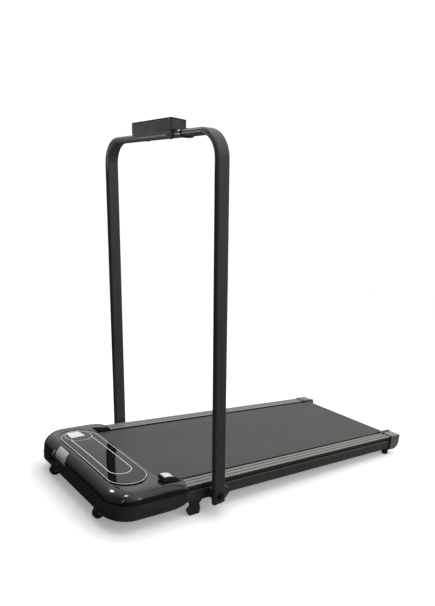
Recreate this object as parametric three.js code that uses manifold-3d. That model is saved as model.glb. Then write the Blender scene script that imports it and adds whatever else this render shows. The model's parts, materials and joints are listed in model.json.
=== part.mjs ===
// Folding treadmill: a motor hood and running deck with a folding hoop handrail.
//
// Millimetres. X runs across the deck, Y from the hood to the tail, Z up. The origin is on the
// floor, at the middle of the bounding box. "left" and "right" are the walker's, who stands on
// the belt and faces the hood, so left is +X.
//
// The pieces of the deck are drawn in a level deck frame: Y is 0 at the hood's front and Z is 0
// at the sole of the front feet. The whole deck then leans back onto its shorter rear feet. The
// handrail's pieces are drawn upright about its pivot, and leaned forward onto their stop.
import * as THREE from 'three';
import { mergeVertices } from 'three/addons/utils/BufferGeometryUtils.js';
import Module from 'manifold-3d';

const wasm = await Module();
wasm.setup();

// Driving dimensions of the whole machine
const deckLength = 1244;
const capLength = 54;
const hoodLength = 154;
const hoodRise = 20;
const earEnd = 222;
const beltWidth = 400;
const beltRise = 15;
const beltThickness = 1.8;
const rollerRadius = 21;
const driveRollerY = 136;
const tailRollerInset = 37;
const railGap = 23;
const railHeight = 33;
const railWidth = 30;
const sideLap = 4;
const frontClearance = 41;
const rearClearance = 25;
const frontFootY = 256;
const rearFootInset = 55;
const pivotY = 306;
const pivotRise = 21;
const uprightReach = 32;
const handrailHeight = 973;
const handrailLeanDegrees = 7.8;
const tubeDepth = 42;
const tubeThickness = 17;
const tubeWall = 1.6;
const bendRadius = 69;
const consoleWidth = 210;
const consoleDepth = 50;
const consoleHeight = 31;
const consoleTiltDegrees = 4;

// Clearances, and the overrun that carries a cut past the face it opens
const seat = 0.3;
const running = 0.25;
const overrun = 2;

// Places that follow from the driving dimensions
const halfTurn = Math.PI;
const quarterTurn = Math.PI / 2;
const beltHalf = beltWidth / 2;
const railInner = beltHalf + railGap;
const railOuter = railInner + railWidth;
const hoodHalf = railOuter + sideLap;
const uprightX = railOuter + uprightReach;
const railBottom = frontClearance;
const railTop = railBottom + railHeight;
const beltTop = railTop + beltRise;
const hoodSeam = railTop;
const hoodTop = beltTop + hoodRise;
const pivotZ = railBottom + pivotRise;
const beltCore = rollerRadius + seat;
const beltShell = beltCore + beltThickness;
const rollerZ = beltTop - beltShell;
const tailRollerY = deckLength - tailRollerInset;
const capStart = deckLength - capLength;
const rearFootY = deckLength - rearFootInset;
const incline = Math.atan((frontClearance - rearClearance) / (rearFootY - frontFootY));
const radians = (degrees) => (degrees * halfTurn) / 180;
const lean = radians(handrailLeanDegrees);
const consoleTilt = radians(consoleTiltDegrees);
const floorAt = (y) => (y - frontFootY) * Math.tan(incline);
const sides = [['left', 1], ['right', -1]];

// Materials
function paint(color, roughness, metalness) {
  return new THREE.MeshStandardMaterial({ color, roughness, metalness, flatShading: true });
}
const glossBlack = paint('#1b1c1e', 0.12, 0);
const panelBlack = paint('#101113', 0.05, 0);
const matteBlack = paint('#232426', 0.55, 0);
const railGrey = paint('#8d8c86', 0.5, 0.1);
const capGrey = paint('#8a8a86', 0.35, 0);
const steelBlack = paint('#2c2d2f', 0.4, 0.5);
const bareSteel = paint('#b4b6b8', 0.3, 1);
const beltGrey = paint('#3a3b3b', 0.85, 0);
const rubberBlack = paint('#161617', 0.9, 0);
const boardBrown = paint('#5d4a36', 0.8, 0);
const boardGreen = paint('#1f5a35', 0.6, 0);
const switchRed = paint('#a3231c', 0.35, 0);
const keyGrey = paint('#3c3d3f', 0.45, 0);

// Joining and cutting
function toSolid(geometry) {
  const bare = geometry.clone();
  for (const name of Object.keys(bare.attributes)) {
    if (name !== 'position') bare.deleteAttribute(name);
  }
  const merged = mergeVertices(bare);
  const index = Array.from(merged.index.array);
  const corners = [];
  for (let i = 0; i < index.length; i += 3) {
    const [a, b, c] = index.slice(i, i + 3);
    if (a !== b && b !== c && c !== a) corners.push(a, b, c);
  }
  return new wasm.Manifold(new wasm.Mesh({
    numProp: 3,
    vertProperties: new Float32Array(merged.attributes.position.array),
    triVerts: new Uint32Array(corners),
  }));
}

function toGeometry(solid) {
  const mesh = solid.getMesh();
  const geometry = new THREE.BufferGeometry();
  geometry.setAttribute('position', new THREE.BufferAttribute(new Float32Array(mesh.vertProperties), 3));
  geometry.setIndex(new THREE.BufferAttribute(new Uint32Array(mesh.triVerts), 1));
  return geometry;
}

function cut(body, ...tools) {
  return toGeometry(tools.reduce((solid, tool) => solid.subtract(toSolid(tool)), toSolid(body)));
}

function join(body, ...others) {
  return toGeometry(others.reduce((solid, other) => solid.add(toSolid(other)), toSolid(body)));
}

function common(body, ...others) {
  return toGeometry(others.reduce((solid, other) => solid.intersect(toSolid(other)), toSolid(body)));
}

// Outlines are drawn on two axes and pushed along the third
const alongX = new THREE.Matrix4().makeBasis(
  new THREE.Vector3(0, 1, 0), new THREE.Vector3(0, 0, 1), new THREE.Vector3(1, 0, 0));
const alongY = new THREE.Matrix4().makeBasis(
  new THREE.Vector3(1, 0, 0), new THREE.Vector3(0, 0, 1), new THREE.Vector3(0, -1, 0));

function toShape(points, holes = []) {
  const vectors = (outline) => outline.map(([a, b]) => new THREE.Vector2(a, b));
  const shape = new THREE.Shape(vectors(points));
  holes.forEach((hole) => shape.holes.push(new THREE.Path(vectors(hole))));
  return shape;
}

function push(points, holes, depth) {
  return new THREE.ExtrudeGeometry(toShape(points, holes), { depth, bevelEnabled: false, steps: 1 });
}

// [y, z] points, between two values of x
function prismX(points, xFrom, xTo, holes) {
  const low = Math.min(xFrom, xTo);
  return push(points, holes, Math.abs(xTo - xFrom)).applyMatrix4(alongX).translate(low, 0, 0);
}

// [x, z] points, between two values of y
function prismY(points, yFrom, yTo, holes) {
  return push(points, holes, yTo - yFrom).applyMatrix4(alongY).translate(0, yTo, 0);
}

// [x, y] points, between two values of z
function prismZ(points, zFrom, zTo, holes) {
  return push(points, holes, zTo - zFrom).translate(0, 0, zFrom);
}

function block(x, y, z) {
  const middle = ([from, to]) => (from + to) / 2;
  const span = ([from, to]) => Math.abs(to - from);
  return new THREE.BoxGeometry(span(x), span(y), span(z)).translate(middle(x), middle(y), middle(z));
}

function rodX(radius, xFrom, xTo, y, z, facets = 24) {
  return new THREE.CylinderGeometry(radius, radius, Math.abs(xTo - xFrom), facets)
    .rotateZ(quarterTurn).translate((xFrom + xTo) / 2, y, z);
}

function rodY(radius, yFrom, yTo, x, z, facets = 16) {
  return new THREE.CylinderGeometry(radius, radius, yTo - yFrom, facets)
    .translate(x, (yFrom + yTo) / 2, z);
}

function rodZ(radius, zFrom, zTo, x, y, facets = 24) {
  return new THREE.CylinderGeometry(radius, radius, zTo - zFrom, facets)
    .rotateX(quarterTurn).translate(x, y, (zFrom + zTo) / 2);
}

// A profile of [radius, x] points, turned about the X axis through (y, z)
function turnX(profile, y, z, facets = 32) {
  const outline = profile.map(([radius, x]) => new THREE.Vector2(radius, -x)).reverse();
  return new THREE.LatheGeometry(outline, facets).rotateZ(quarterTurn).translate(0, y, z);
}

function arc(centre, radius, from, to, steps) {
  return Array.from({ length: steps + 1 }, (_, i) => {
    const angle = from + ((to - from) * i) / steps;
    return [centre[0] + radius * Math.cos(angle), centre[1] + radius * Math.sin(angle)];
  });
}

function shift(points, a, b) {
  return points.map((point) => [point[0] + a, point[1] + b]);
}

function mirror(points, sign) {
  return points.map(([x, other]) => [sign * x, other]);
}

// A rectangle about zero with round corners; a stadium when the radius is half its height
function roundedBox(halfA, halfB, radius, steps = 5) {
  const a = halfA - radius;
  const b = halfB - radius;
  return [[a, b], [-a, b], [-a, -b], [a, -b]].flatMap((centre, i) => (
    arc(centre, radius, i * quarterTurn, (i + 1) * quarterTurn, steps)));
}

// Moves each edge of a convex, counter-clockwise outline inward
function insetOutline(points, distance) {
  const count = points.length;
  const edges = points.map((point, i) => {
    const next = points[(i + 1) % count];
    const length = Math.hypot(next[0] - point[0], next[1] - point[1]);
    const normal = [(point[1] - next[1]) / length, (next[0] - point[0]) / length];
    return { normal, offset: normal[0] * point[0] + normal[1] * point[1] + distance };
  });
  return edges.map((edge, i) => {
    const last = edges[(i + count - 1) % count];
    const cross = last.normal[0] * edge.normal[1] - last.normal[1] * edge.normal[0];
    return [(last.offset * edge.normal[1] - edge.offset * last.normal[1]) / cross,
      (last.normal[0] * edge.offset - edge.normal[0] * last.offset) / cross];
  });
}

// A band round two wheels of [y, z] centre: their outer tangents joined by two arcs
function beltOutline(front, frontRadius, rear, rearRadius, steps) {
  const line = Math.atan2(rear[1] - front[1], rear[0] - front[0]);
  const apart = Math.hypot(rear[1] - front[1], rear[0] - front[0]);
  const wrap = Math.acos((frontRadius - rearRadius) / apart);
  return [
    ...arc(front, frontRadius, line + wrap, line + 2 * halfTurn - wrap, steps),
    ...arc(rear, rearRadius, line - wrap, line + wrap, steps),
  ];
}

// The deck leans back on its feet, and the handrail is carried at its pivot
const treadmill = new THREE.Group();
const deck = new THREE.Group();
deck.rotation.x = -incline;
treadmill.add(deck);
const handrail = new THREE.Group();
handrail.position.set(0, pivotY, pivotZ);
handrail.rotation.x = lean;
deck.add(handrail);

function add(parent, name, geometry, material) {
  const mesh = new THREE.Mesh(geometry, material);
  mesh.name = name;
  parent.add(mesh);
  return mesh;
}

// Hood cover and hood base: two thin shells that meet at a level seam
const hoodCorner = 70;
const hoodRoll = 26;
const hoodWall = 3;
const hoodRoof = 4;
const earGap = 3;
const earInner = beltHalf + earGap;
const footRailRise = 2.4;
const footRailTop = beltTop + footRailRise;
const earEndRise = 2.1;
const earEndTop = footRailTop + earEndRise;
const earSlopeShare = [[0, 1], [0.4, 0.84], [0.85, 0.48], [1, 0]];
const seamGap = 0.6;
const panelInset = 53;
const panelDepth = 120;
const panelY = 89;
const panelSunk = 1.6;
const panelProud = 0.6;

// From above: a flat front with round corners and straight sides, square at the back
function hoodPlan(inset, rear) {
  const radius = hoodCorner - inset;
  const centreX = hoodHalf - hoodCorner;
  const steps = 8;
  return [
    ...arc([-centreX, hoodCorner], radius, halfTurn, halfTurn + quarterTurn, steps),
    ...arc([centreX, hoodCorner], radius, -quarterTurn, 0, steps),
    [hoodHalf - inset, rear],
    [inset - hoodHalf, rear],
  ];
}

// The plan carried up to a top edge that rolls over
function rolledHood(inset, top, roll) {
  const depth = top - roll - railBottom;
  return new THREE.ExtrudeGeometry(toShape(hoodPlan(inset + roll, earEnd + hoodRoll)), {
    depth, bevelThickness: roll, bevelSize: roll, bevelSegments: 5, steps: 1,
  }).translate(0, 0, top - depth - roll);
}

const earSlope = earSlopeShare.map(([yShare, zShare]) => [
  hoodLength + yShare * (earEnd - hoodLength), earEndTop + zShare * (hoodTop - earEndTop)]);

// From the side: level over the motor, then falling along the two ears
function hoodSide(drop, low) {
  const falling = earSlope.map(([y, z]) => [y, z - drop]);
  return [
    [-overrun, low],
    [earEnd + overrun, low],
    [earEnd + overrun, earEndTop - drop],
    ...falling.reverse(),
    [hoodLength, hoodTop + overrun],
    [-overrun, hoodTop + overrun],
  ];
}

// The back edge from above: a lip over the belt between the two ears
function hoodBack(wall) {
  const wide = hoodHalf + overrun;
  const inner = earInner + wall;
  const end = earEnd - wall;
  const open = hoodLength + (wall ? overrun : 0);
  const right = [[wide, end], [inner, end], [inner, hoodLength], [earInner, hoodLength], [earInner, open]];
  const corners = wall ? right : right.slice(0, 3);
  return [[-wide, -overrun], [wide, -overrun], ...corners, ...mirror(corners, -1).reverse()];
}

function panelOutline(gap) {
  const half = panelDepth / 2 + gap;
  return shift(roundedBox(hoodHalf - panelInset + gap, half, half, 8), 0, panelY);
}

function hoodCover() {
  const bottom = hoodSeam + seamGap;
  const high = hoodTop + overrun;
  const shell = common(rolledHood(0, hoodTop, hoodRoll), prismZ(hoodBack(0), bottom, high),
    prismX(hoodSide(0, bottom), -hoodHalf - overrun, hoodHalf + overrun));
  const cavity = common(rolledHood(hoodWall, hoodTop - hoodRoof, hoodRoll - hoodWall),
    prismZ(hoodBack(hoodWall), bottom - overrun, high),
    prismX(hoodSide(hoodRoof, bottom - overrun), -hoodHalf, hoodHalf));
  const railWay = block([-railOuter - seat, railOuter + seat], [hoodLength - overrun, earEnd + overrun],
    [bottom - overrun, footRailTop + seat]);
  const pocket = prismZ(panelOutline(seat), hoodTop - panelSunk, high);
  return cut(shell, cavity, railWay, pocket);
}

function hoodPanel() {
  return prismZ(panelOutline(-seat), hoodTop - panelSunk + seat, hoodTop + panelProud);
}

// Hood base: a tray round the motor that carries the inlet and the transport wheels
const baseDrop = 11;
const baseBottom = railBottom - baseDrop;
const baseWall = 3.5;
const baseFloor = 3;
const baseShort = 4;
const baseEnd = earEnd - baseShort;
const baseStepRise = 17;
const baseStep = baseBottom + baseStepRise;
const baseStepIn = 1.5;
const baseRiseLead = 3;
const baseRiseY = hoodLength - baseRiseLead;
const baseRiseShare = [[0, 0], [0.62, 0.36], [1, 1]];
const wheelInset = 112;
const wheelX = hoodHalf - wheelInset;
const wheelY = 18;
const wheelZ = 16.5;
const wheelRadius = 17.5;
const wheelWidth = 13;
const forkThickness = 2;
const forkSlot = wheelWidth / 2 + 2 * seat + forkThickness + seat;
const forkHalfDepth = 10;
const forkRise = 3.5;
const forkTop = wheelZ + wheelRadius + forkRise;
const inletInset = 134;
const inletX = inletInset - hoodHalf;
const inletWidth = 78;
const inletHeight = 24;
const inletRoom = 2.5;
const inletZ = forkTop + inletRoom + inletHeight / 2;
const inletDepth = 22;
const inletFace = 2.2;

function hoodBase() {
  const top = hoodSeam;
  const lower = prismZ(hoodPlan(baseStepIn, baseEnd), baseBottom, top);
  const upper = prismZ(hoodPlan(0, baseEnd), baseStep, top);
  const cavity = prismZ(hoodPlan(baseWall, baseEnd + overrun), baseBottom + baseFloor, top + overrun);
  const rise = baseRiseShare.map(([yShare, zShare]) => [
    baseRiseY + yShare * (baseEnd - baseRiseY), baseBottom + zShare * (railBottom - baseBottom)]);
  const below = prismX([
    [baseRiseY, baseBottom - overrun], [baseEnd + overrun, baseBottom - overrun],
    [baseEnd + overrun, railBottom], ...rise.reverse()], -hoodHalf - overrun, hoodHalf + overrun);
  const inletHole = block(
    [inletX - inletWidth / 2 - seat, inletX + inletWidth / 2 + seat],
    [-overrun, baseWall + baseStepIn + overrun],
    [inletZ - inletHeight / 2 - seat, inletZ + inletHeight / 2 + seat]);
  const slots = sides.map(([, sign]) => block(
    [sign * wheelX - forkSlot, sign * wheelX + forkSlot],
    [wheelY - forkHalfDepth - overrun, wheelY + forkHalfDepth + overrun],
    [baseBottom - overrun, baseBottom + baseFloor + overrun]));
  return cut(join(lower, upper), cavity, below, inletHole, ...slots);
}

// Power inlet: a moulded module with the mains socket on one side and the rocker's window on the other
const socketWidth = 25;
const socketHeight = 17;
const socketDepth = 16;
const socketInset = 22;
const pinLength = 11;
const pinThickness = 2.4;
const pinSpacing = 7;
const rockerWidth = 26;
const rockerHeight = 12;
const rockerInset = 20;
const rockerTiltDegrees = 7;
const socketX = inletX - inletWidth / 2 + socketInset;
const rockerX = inletX + inletWidth / 2 - rockerInset;

function powerInlet() {
  const back = inletFace + inletDepth;
  const body = block([inletX - inletWidth / 2, inletX + inletWidth / 2], [inletFace, back],
    [inletZ - inletHeight / 2, inletZ + inletHeight / 2]);
  const socket = block([socketX - socketWidth / 2, socketX + socketWidth / 2],
    [inletFace - overrun, inletFace + socketDepth], [inletZ - socketHeight / 2, inletZ + socketHeight / 2]);
  const window = block([rockerX - rockerWidth / 2, rockerX + rockerWidth / 2],
    [inletFace - overrun, back + overrun], [inletZ - rockerHeight / 2, inletZ + rockerHeight / 2]);
  const pins = [-1, 0, 1].map((place) => block(
    [socketX + place * pinSpacing - pinThickness / 2, socketX + place * pinSpacing + pinThickness / 2],
    [inletFace + socketDepth - pinLength, inletFace + socketDepth + pinThickness],
    [inletZ - pinThickness + (place ? -pinThickness : pinThickness) / 2,
      inletZ + pinThickness + (place ? -pinThickness : pinThickness) / 2]));
  return join(cut(body, socket, window), ...pins);
}

// The rocker is drawn level about its own pin and tipped to its off side
const rockerFace = 3;
const rockerDish = 1.4;
const rockerReach = 5;
const rockerPinDepth = 6;
const rockerPlay = 1.6;

function powerSwitch() {
  const half = rockerWidth / 2 - rockerPlay;
  const face = -rockerPinDepth - rockerFace;
  const outline = [
    [-half, -rockerPinDepth], [-half, face], [0, face + rockerDish], [half, face],
    [half, -rockerPinDepth], [half / 2, rockerReach], [-half / 2, rockerReach]];
  return prismZ(outline, seat - rockerHeight / 2, rockerHeight / 2 - seat);
}

// Transport wheels: each turns on an axle in a steel fork that stands through the tray's floor
const axleRadius = 3;
const axleHead = 4.6;
const axleHeadThickness = 1.6;
const treadRound = 2.5;
const forkFoot = 6;
const forkCorner = 4;

function transportWheel() {
  const half = wheelWidth / 2;
  const bore = axleRadius + running;
  return turnX([
    [bore, -half], [wheelRadius - treadRound, -half], [wheelRadius, treadRound - half],
    [wheelRadius, half - treadRound], [wheelRadius - treadRound, half], [bore, half], [bore, -half],
  ], 0, 0, 28);
}

function wheelFork(sign) {
  const x = sign * wheelX;
  const outer = wheelWidth / 2 + 2 * seat + forkThickness;
  const inner = outer - forkThickness;
  const foot = wheelZ - forkFoot;
  const side = [
    [wheelY - forkHalfDepth, forkTop], [wheelY - forkHalfDepth, wheelZ], [wheelY - forkCorner, foot],
    [wheelY + forkCorner, foot], [wheelY + forkHalfDepth, wheelZ], [wheelY + forkHalfDepth, forkTop]];
  const gap = block([x - inner, x + inner],
    [wheelY - forkHalfDepth - overrun, wheelY + forkHalfDepth + overrun],
    [foot - overrun, forkTop - forkThickness]);
  return cut(prismX(side, x - outer, x + outer), gap,
    rodX(axleRadius + running, x - outer - overrun, x + outer + overrun, wheelY, wheelZ));
}

function wheelAxle(sign) {
  const x = sign * wheelX;
  const shank = wheelWidth / 2 + 2 * seat + forkThickness + seat;
  const end = shank + axleHeadThickness;
  return turnX([
    [0, x - end], [axleHead, x - end], [axleHead, x - shank], [axleRadius, x - shank],
    [axleRadius, x + shank], [axleHead, x + shank], [axleHead, x + end], [0, x + end],
  ], wheelY, wheelZ, 24);
}

// Frame: two steel channels, open inward, on a front plate and three box-section ties
const railWall = 2;
const railStart = 70;
const railEndInset = 31;
const plateFront = 45;
const plateDepth = 50;
const plateThickness = 3;
const tieWidth = 40;
const tieRoom = 5.3;
const tieWall = 2;
const cushionThickness = 4;
const cushionWidth = 28;
const cushionInset = 10;
const boardThickness = 16;
const boardLap = 12;
const boardRollerGap = 12;
const boardStart = driveRollerY + rollerRadius + boardRollerGap;
const boardEnd = tailRollerY - rollerRadius - boardRollerGap;
const tieShares = [['front', 0.031], ['middle', 0.509], ['rear', 0.956]];
const boardTop = beltTop - beltThickness - seat;
const boardBottom = boardTop - boardThickness;
const tieTop = boardBottom - cushionThickness - 2 * seat;
const tieBottom = railBottom + railWall + tieRoom;

function sideRail(sign) {
  const inside = railOuter - railWall;
  const profile = [
    [railInner, railBottom], [railOuter, railBottom], [railOuter, railTop], [railInner, railTop],
    [railInner, railTop - railWall], [inside, railTop - railWall], [inside, railBottom + railWall],
    [railInner, railBottom + railWall]];
  return prismY(mirror(profile, sign), railStart, deckLength - railEndInset);
}

function crossPlate() {
  const half = railOuter - seat;
  const [low, high] = [railBottom - seat - plateThickness, railBottom - seat];
  return common(block([-half, half], [plateFront, plateFront + plateDepth], [low, high]),
    prismZ(hoodPlan(baseWall + seat, earEnd), low - overrun, high + overrun));
}

function crossTie(y) {
  const half = railOuter - railWall - seat;
  const outer = [[y - tieWidth / 2, tieBottom], [y + tieWidth / 2, tieBottom],
    [y + tieWidth / 2, tieTop], [y - tieWidth / 2, tieTop]];
  return prismX(outer, -half, half, [insetOutline(outer, tieWall)]);
}

function deckCushion(y) {
  const half = beltHalf - cushionInset;
  return block([-half, half], [y - cushionWidth / 2, y + cushionWidth / 2],
    [tieTop + seat, tieTop + seat + cushionThickness]);
}

function deckBoard() {
  const half = beltHalf + boardLap;
  return block([-half, half], [boardStart, boardEnd], [boardBottom, boardTop]);
}

// Foot rails: ribbed extrusions that stand on the channels and lap over the board's edge, with a
// plain lip beside the belt
const beltGap = 2.5;
const footLap = 0.2;
const footInner = beltHalf + beltGap;
const footOuter = railOuter + footLap;
const footSkin = 3;
const footSkirt = 11;
const footGroove = 7;
const footBase = 21;
const ribHeight = 0.8;
const ribEdge = 1;
const ribValley = 6.4;
const ribCount = 3;
const beltLip = 9;
const footStart = 168;
const capSeam = 5;

function footRail(sign) {
  const top = footRailTop - ribHeight;
  const under = top - footSkin;
  const foot = railTop + seat;
  const groove = footOuter - footGroove;
  const firstRib = footOuter - ribEdge;
  const pitch = (firstRib - footInner - beltLip + ribValley) / ribCount;
  const ribWidth = pitch - ribValley;
  const ribs = Array.from({ length: ribCount }, (_, i) => {
    const x = firstRib - i * pitch - ribWidth / 2;
    return [[x + ribWidth / 2, top], [x + ribWidth / 4, footRailTop], [x - ribWidth / 4, footRailTop],
      [x - ribWidth / 2, top]];
  }).flat();
  const profile = [
    [footInner, under], [groove - footSkin, under], [groove - footSkin, foot + footSkin],
    [groove - footBase, foot + footSkin], [groove - footBase, foot], [groove, foot], [groove, under],
    [footOuter - footSkin, under], [footOuter - footSkin, top - footSkirt], [footOuter, top - footSkirt],
    [footOuter, top - ribHeight], [footOuter - ribHeight, top], ...ribs, [footInner, top]];
  return prismY(mirror(profile, sign), footStart, capStart - capSeam);
}

// Rollers: each turns on a fixed shaft that spans the two channels
const shaftRadius = 5;
const rollerLap = 1.5;
const rollerHalf = beltHalf + rollerLap;
const rollerWall = 3;
const rollerHub = 14;
const pulleyRadius = 24;
const pulleyGap = 6.5;
const pulleyFrom = beltHalf + pulleyGap;
const pulleyClear = 3.5;
const pulleyWidth = railGap - pulleyGap - pulleyClear;
const pulleyRim = 1.2;
const shaftHalf = railOuter - railWall - seat;
const boltX = railInner + railWidth / 2;
const boltRadius = 3.5;
const boltHead = 6.5;
const boltHeadLength = 5;

function rollerShaft(y) {
  return rodX(shaftRadius, -shaftHalf, shaftHalf, y, rollerZ);
}

// The inside of a roller: a narrow bore through a hub at each end and a wide one between
function rollerBore(end) {
  const bore = shaftRadius + running;
  const inside = rollerRadius - rollerWall;
  const hub = rollerHalf - rollerHub;
  return [[bore, end], [bore, hub], [inside, hub], [inside, -hub], [bore, -hub], [bore, -rollerHalf]];
}

function tailRoller() {
  return turnX([[rollerRadius, -rollerHalf], [rollerRadius, rollerHalf], ...rollerBore(rollerHalf),
    [rollerRadius, -rollerHalf]], tailRollerY, rollerZ);
}

// The drive roller carries its belt pulley on the left end
function driveRoller() {
  const end = pulleyFrom + pulleyWidth;
  const groove = pulleyRadius - pulleyRim;
  return turnX([
    [rollerRadius, -rollerHalf], [rollerRadius, rollerHalf],
    [groove, rollerHalf + pulleyRim], [pulleyRadius, pulleyFrom],
    [groove, pulleyFrom + pulleyRim], [groove, end - pulleyRim], [pulleyRadius, end],
    ...rollerBore(end), [rollerRadius, -rollerHalf]], driveRollerY, rollerZ);
}

function tensionBolt(sign) {
  const x = sign * boltX;
  const head = deckLength - boltHeadLength;
  const tip = tailRollerY + shaftRadius + seat;
  const hexKey = rodY(boltRadius, head + boltRadius / 2, deckLength, x, rollerZ, 6);
  const shank = rodY(boltRadius, tip, head, x, rollerZ);
  const cap = rodY(boltHead, head - boltRadius, deckLength - seat, x, rollerZ);
  return cut(join(shank, cap), hexKey);
}

function runningBelt() {
  const front = [driveRollerY, rollerZ];
  const rear = [tailRollerY, rollerZ];
  const outline = beltOutline(front, beltShell, rear, beltShell, 12);
  return prismX(outline, -beltHalf, beltHalf, [beltOutline(front, beltCore, rear, beltCore, 12)]);
}

// End caps: hollow mouldings that slip over the ends of the channels
const capDrop = 3.5;
const capBottom = railBottom - capDrop;
const capRise = 0.6;
const capTop = footRailTop + capRise;
const capWall = 3;
const capCurve = 30;
const capInner = footInner;

function endCap(sign) {
  const outline = [
    [capStart, capBottom],
    ...arc([deckLength - capCurve, capBottom + capCurve], capCurve, -quarterTurn, 0, 7),
    [deckLength, capTop - capWall], [deckLength - capWall, capTop], [capStart, capTop]];
  const hollow = insetOutline(outline, capWall).map(([y, z]) => (
    [y < capStart + 2 * capWall ? y - 2 * capWall : y, z]));
  const cavity = prismX(hollow, sign * (capInner + capWall), sign * (hoodHalf - capWall - seat));
  const shaftHole = rodX(shaftRadius + seat, sign * (capInner - overrun),
    sign * (capInner + capWall + overrun), tailRollerY, rollerZ);
  const boltHole = rodY(boltHead + seat, deckLength - capCurve / 2, deckLength + overrun,
    sign * boltX, rollerZ);
  return cut(prismX(outline, sign * capInner, sign * hoodHalf), cavity, shaftHole, boltHole);
}

// Small dark guards over the inner edge of each end cap, beside the belt
const guardThickness = 2.6;
const guardEdge = 9.5;
const guardToe = 24;
const guardToeLength = 28;

function rollerGuard(sign) {
  const outline = [
    [capInner, capStart - guardToeLength], [capInner + guardToe, capStart],
    [capInner + guardEdge, capStart + capWall], [capInner + guardEdge, deckLength - capWall],
    [capInner, deckLength - capWall]];
  return prismZ(mirror(outline, sign), capTop + seat, capTop + seat + guardThickness);
}

// Feet: hooked front feet under the channels and round rubber rear feet
const footWidth = 8;
const frontFootShare = [
  [-0.5, 0], [0.5, 0], [0.52, 0.42], [0.36, 0.78], [0.66, 1], [-0.66, 1], [-0.52, 0.72], [-0.86, 0.44]];
const frontFootLength = 34;
const rearFootRadius = 12.5;
const rearFootBevel = 2;

function frontFoot(sign) {
  const height = railBottom - seat;
  const outline = frontFootShare.map(([yShare, zShare]) => {
    const y = frontFootY + yShare * frontFootLength;
    return [y, floorAt(y) + zShare * (height - floorAt(y))];
  });
  return prismX(outline, sign * (railOuter - footWidth), sign * railOuter);
}

// Drawn about the foot's own sole, so that it can stand upright on the floor
function rearFoot() {
  const height = rearClearance - capDrop - 2 * seat;
  return new THREE.LatheGeometry([
    [0, 0], [rearFootRadius - rearFootBevel, 0], [rearFootRadius, rearFootBevel],
    [rearFootRadius - rearFootBevel / 2, height], [0, height],
  ].map(([radius, z]) => new THREE.Vector2(radius, z)), 24).rotateX(quarterTurn);
}

// Drive: motor, rotor with its own pulley, saddle and ribbed drive belt
const motorY = 62;
const motorRise = 30;
const motorZ = railBottom + motorRise;
const motorRadius = 27;
const motorCase = 5;
const motorLength = 140;
const rotorReach = 94.5;
const motorTo = pulleyFrom - rotorReach;
const motorFrom = motorTo - motorLength;
const rotorRadius = 18;
const rotorShaft = 5;
const motorPulley = 8;
const motorPulleyRim = 1.2;
const motorBellHole = 7;
const saddleInset = 28;
const saddleHalf = 24;
const saddleRise = 12;
const driveBeltThickness = 2;

function motorBody() {
  const bore = motorRadius - motorCase;
  return turnX([
    [motorBellHole, motorFrom], [motorRadius, motorFrom], [motorRadius, motorTo], [motorBellHole, motorTo],
    [motorBellHole, motorTo - motorCase], [bore, motorTo - motorCase], [bore, motorFrom + motorCase],
    [motorBellHole, motorFrom + motorCase], [motorBellHole, motorFrom]], motorY, motorZ);
}

function motorRotor() {
  const core = 3 * motorCase;
  const end = pulleyFrom + pulleyWidth;
  const rim = motorPulley + motorPulleyRim;
  return turnX([
    [0, motorFrom], [rotorShaft, motorFrom], [rotorShaft, motorFrom + core], [rotorRadius, motorFrom + core],
    [rotorRadius, motorTo - core], [rotorShaft, motorTo - core], [rotorShaft, pulleyFrom], [rim, pulleyFrom],
    [motorPulley, pulleyFrom + motorPulleyRim], [motorPulley, end - motorPulleyRim], [rim, end], [0, end],
  ], motorY, motorZ, 24);
}

function motorSaddle() {
  const [from, to] = [motorFrom + saddleInset, motorTo - saddleInset];
  const body = block([from, to], [motorY - saddleHalf, motorY + saddleHalf],
    [railBottom, railBottom + saddleRise]);
  return cut(body, rodX(motorRadius + seat, from - overrun, to + overrun, motorY, motorZ, 48));
}

function driveBelt() {
  const motor = [motorY, motorZ];
  const roller = [driveRollerY, rollerZ];
  const from = pulleyFrom + pulleyRim + seat;
  const to = pulleyFrom + pulleyWidth - pulleyRim - seat;
  const inner = [motorPulley + seat, pulleyRadius - pulleyRim + seat];
  const outline = (extra) => beltOutline(motor, inner[0] + extra, roller, inner[1] + extra, 14);
  return prismX(outline(driveBeltThickness), from, to, [outline(0)]);
}

// Electronics: the motor controller on the front plate and the display board under the gloss panel
const controlInset = 65;
const controlLeft = controlInset - hoodHalf;
const controlWidth = 92;
const controlFront = 34;
const controlDepth = 59;
const controlHeight = 30;
const finCount = 6;
const finDepth = 6;
const displayHalf = 62;
const displayFront = 66;
const displayDepth = 46;
const displayThickness = 5;

function controlBox() {
  const low = railBottom;
  const top = low + controlHeight;
  const back = controlFront + controlDepth;
  const pitch = controlWidth / finCount;
  const slots = Array.from({ length: finCount }, (_, i) => {
    const middle = controlLeft + (i + 0.5) * pitch;
    return block([middle - pitch / 4, middle + pitch / 4], [controlFront - overrun, back + overrun],
      [top - finDepth, top + overrun]);
  });
  return cut(block([controlLeft, controlLeft + controlWidth], [controlFront, back], [low, top]), ...slots);
}

function displayBoard() {
  const top = hoodTop - hoodRoof - seat;
  return block([-displayHalf, displayHalf], [displayFront, displayFront + displayDepth],
    [top - displayThickness, top]);
}

// Safety key: an arched block that sits on the left ear and pulls off upward
const keyInset = 6;
const keyInner = beltHalf + keyInset;
const keyWidth = 30;
const keyLead = 2;
const keyFrom = hoodLength - keyLead;
const keyLength = 56;
const keyHeight = 14;
const keyArchShare = [[1, 0.06], [0.9, 0.36], [0.74, 0.66], [0.55, 0.88], [0.34, 1], [0.12, 0.98], [0, 0.86]];

function earTopAt(y) {
  const past = earSlope.findIndex(([corner]) => corner > y);
  if (past <= 0) return hoodTop;
  const [low, high] = [earSlope[past - 1], earSlope[past]];
  return low[1] + ((high[1] - low[1]) * (y - low[0])) / (high[0] - low[0]);
}

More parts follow.
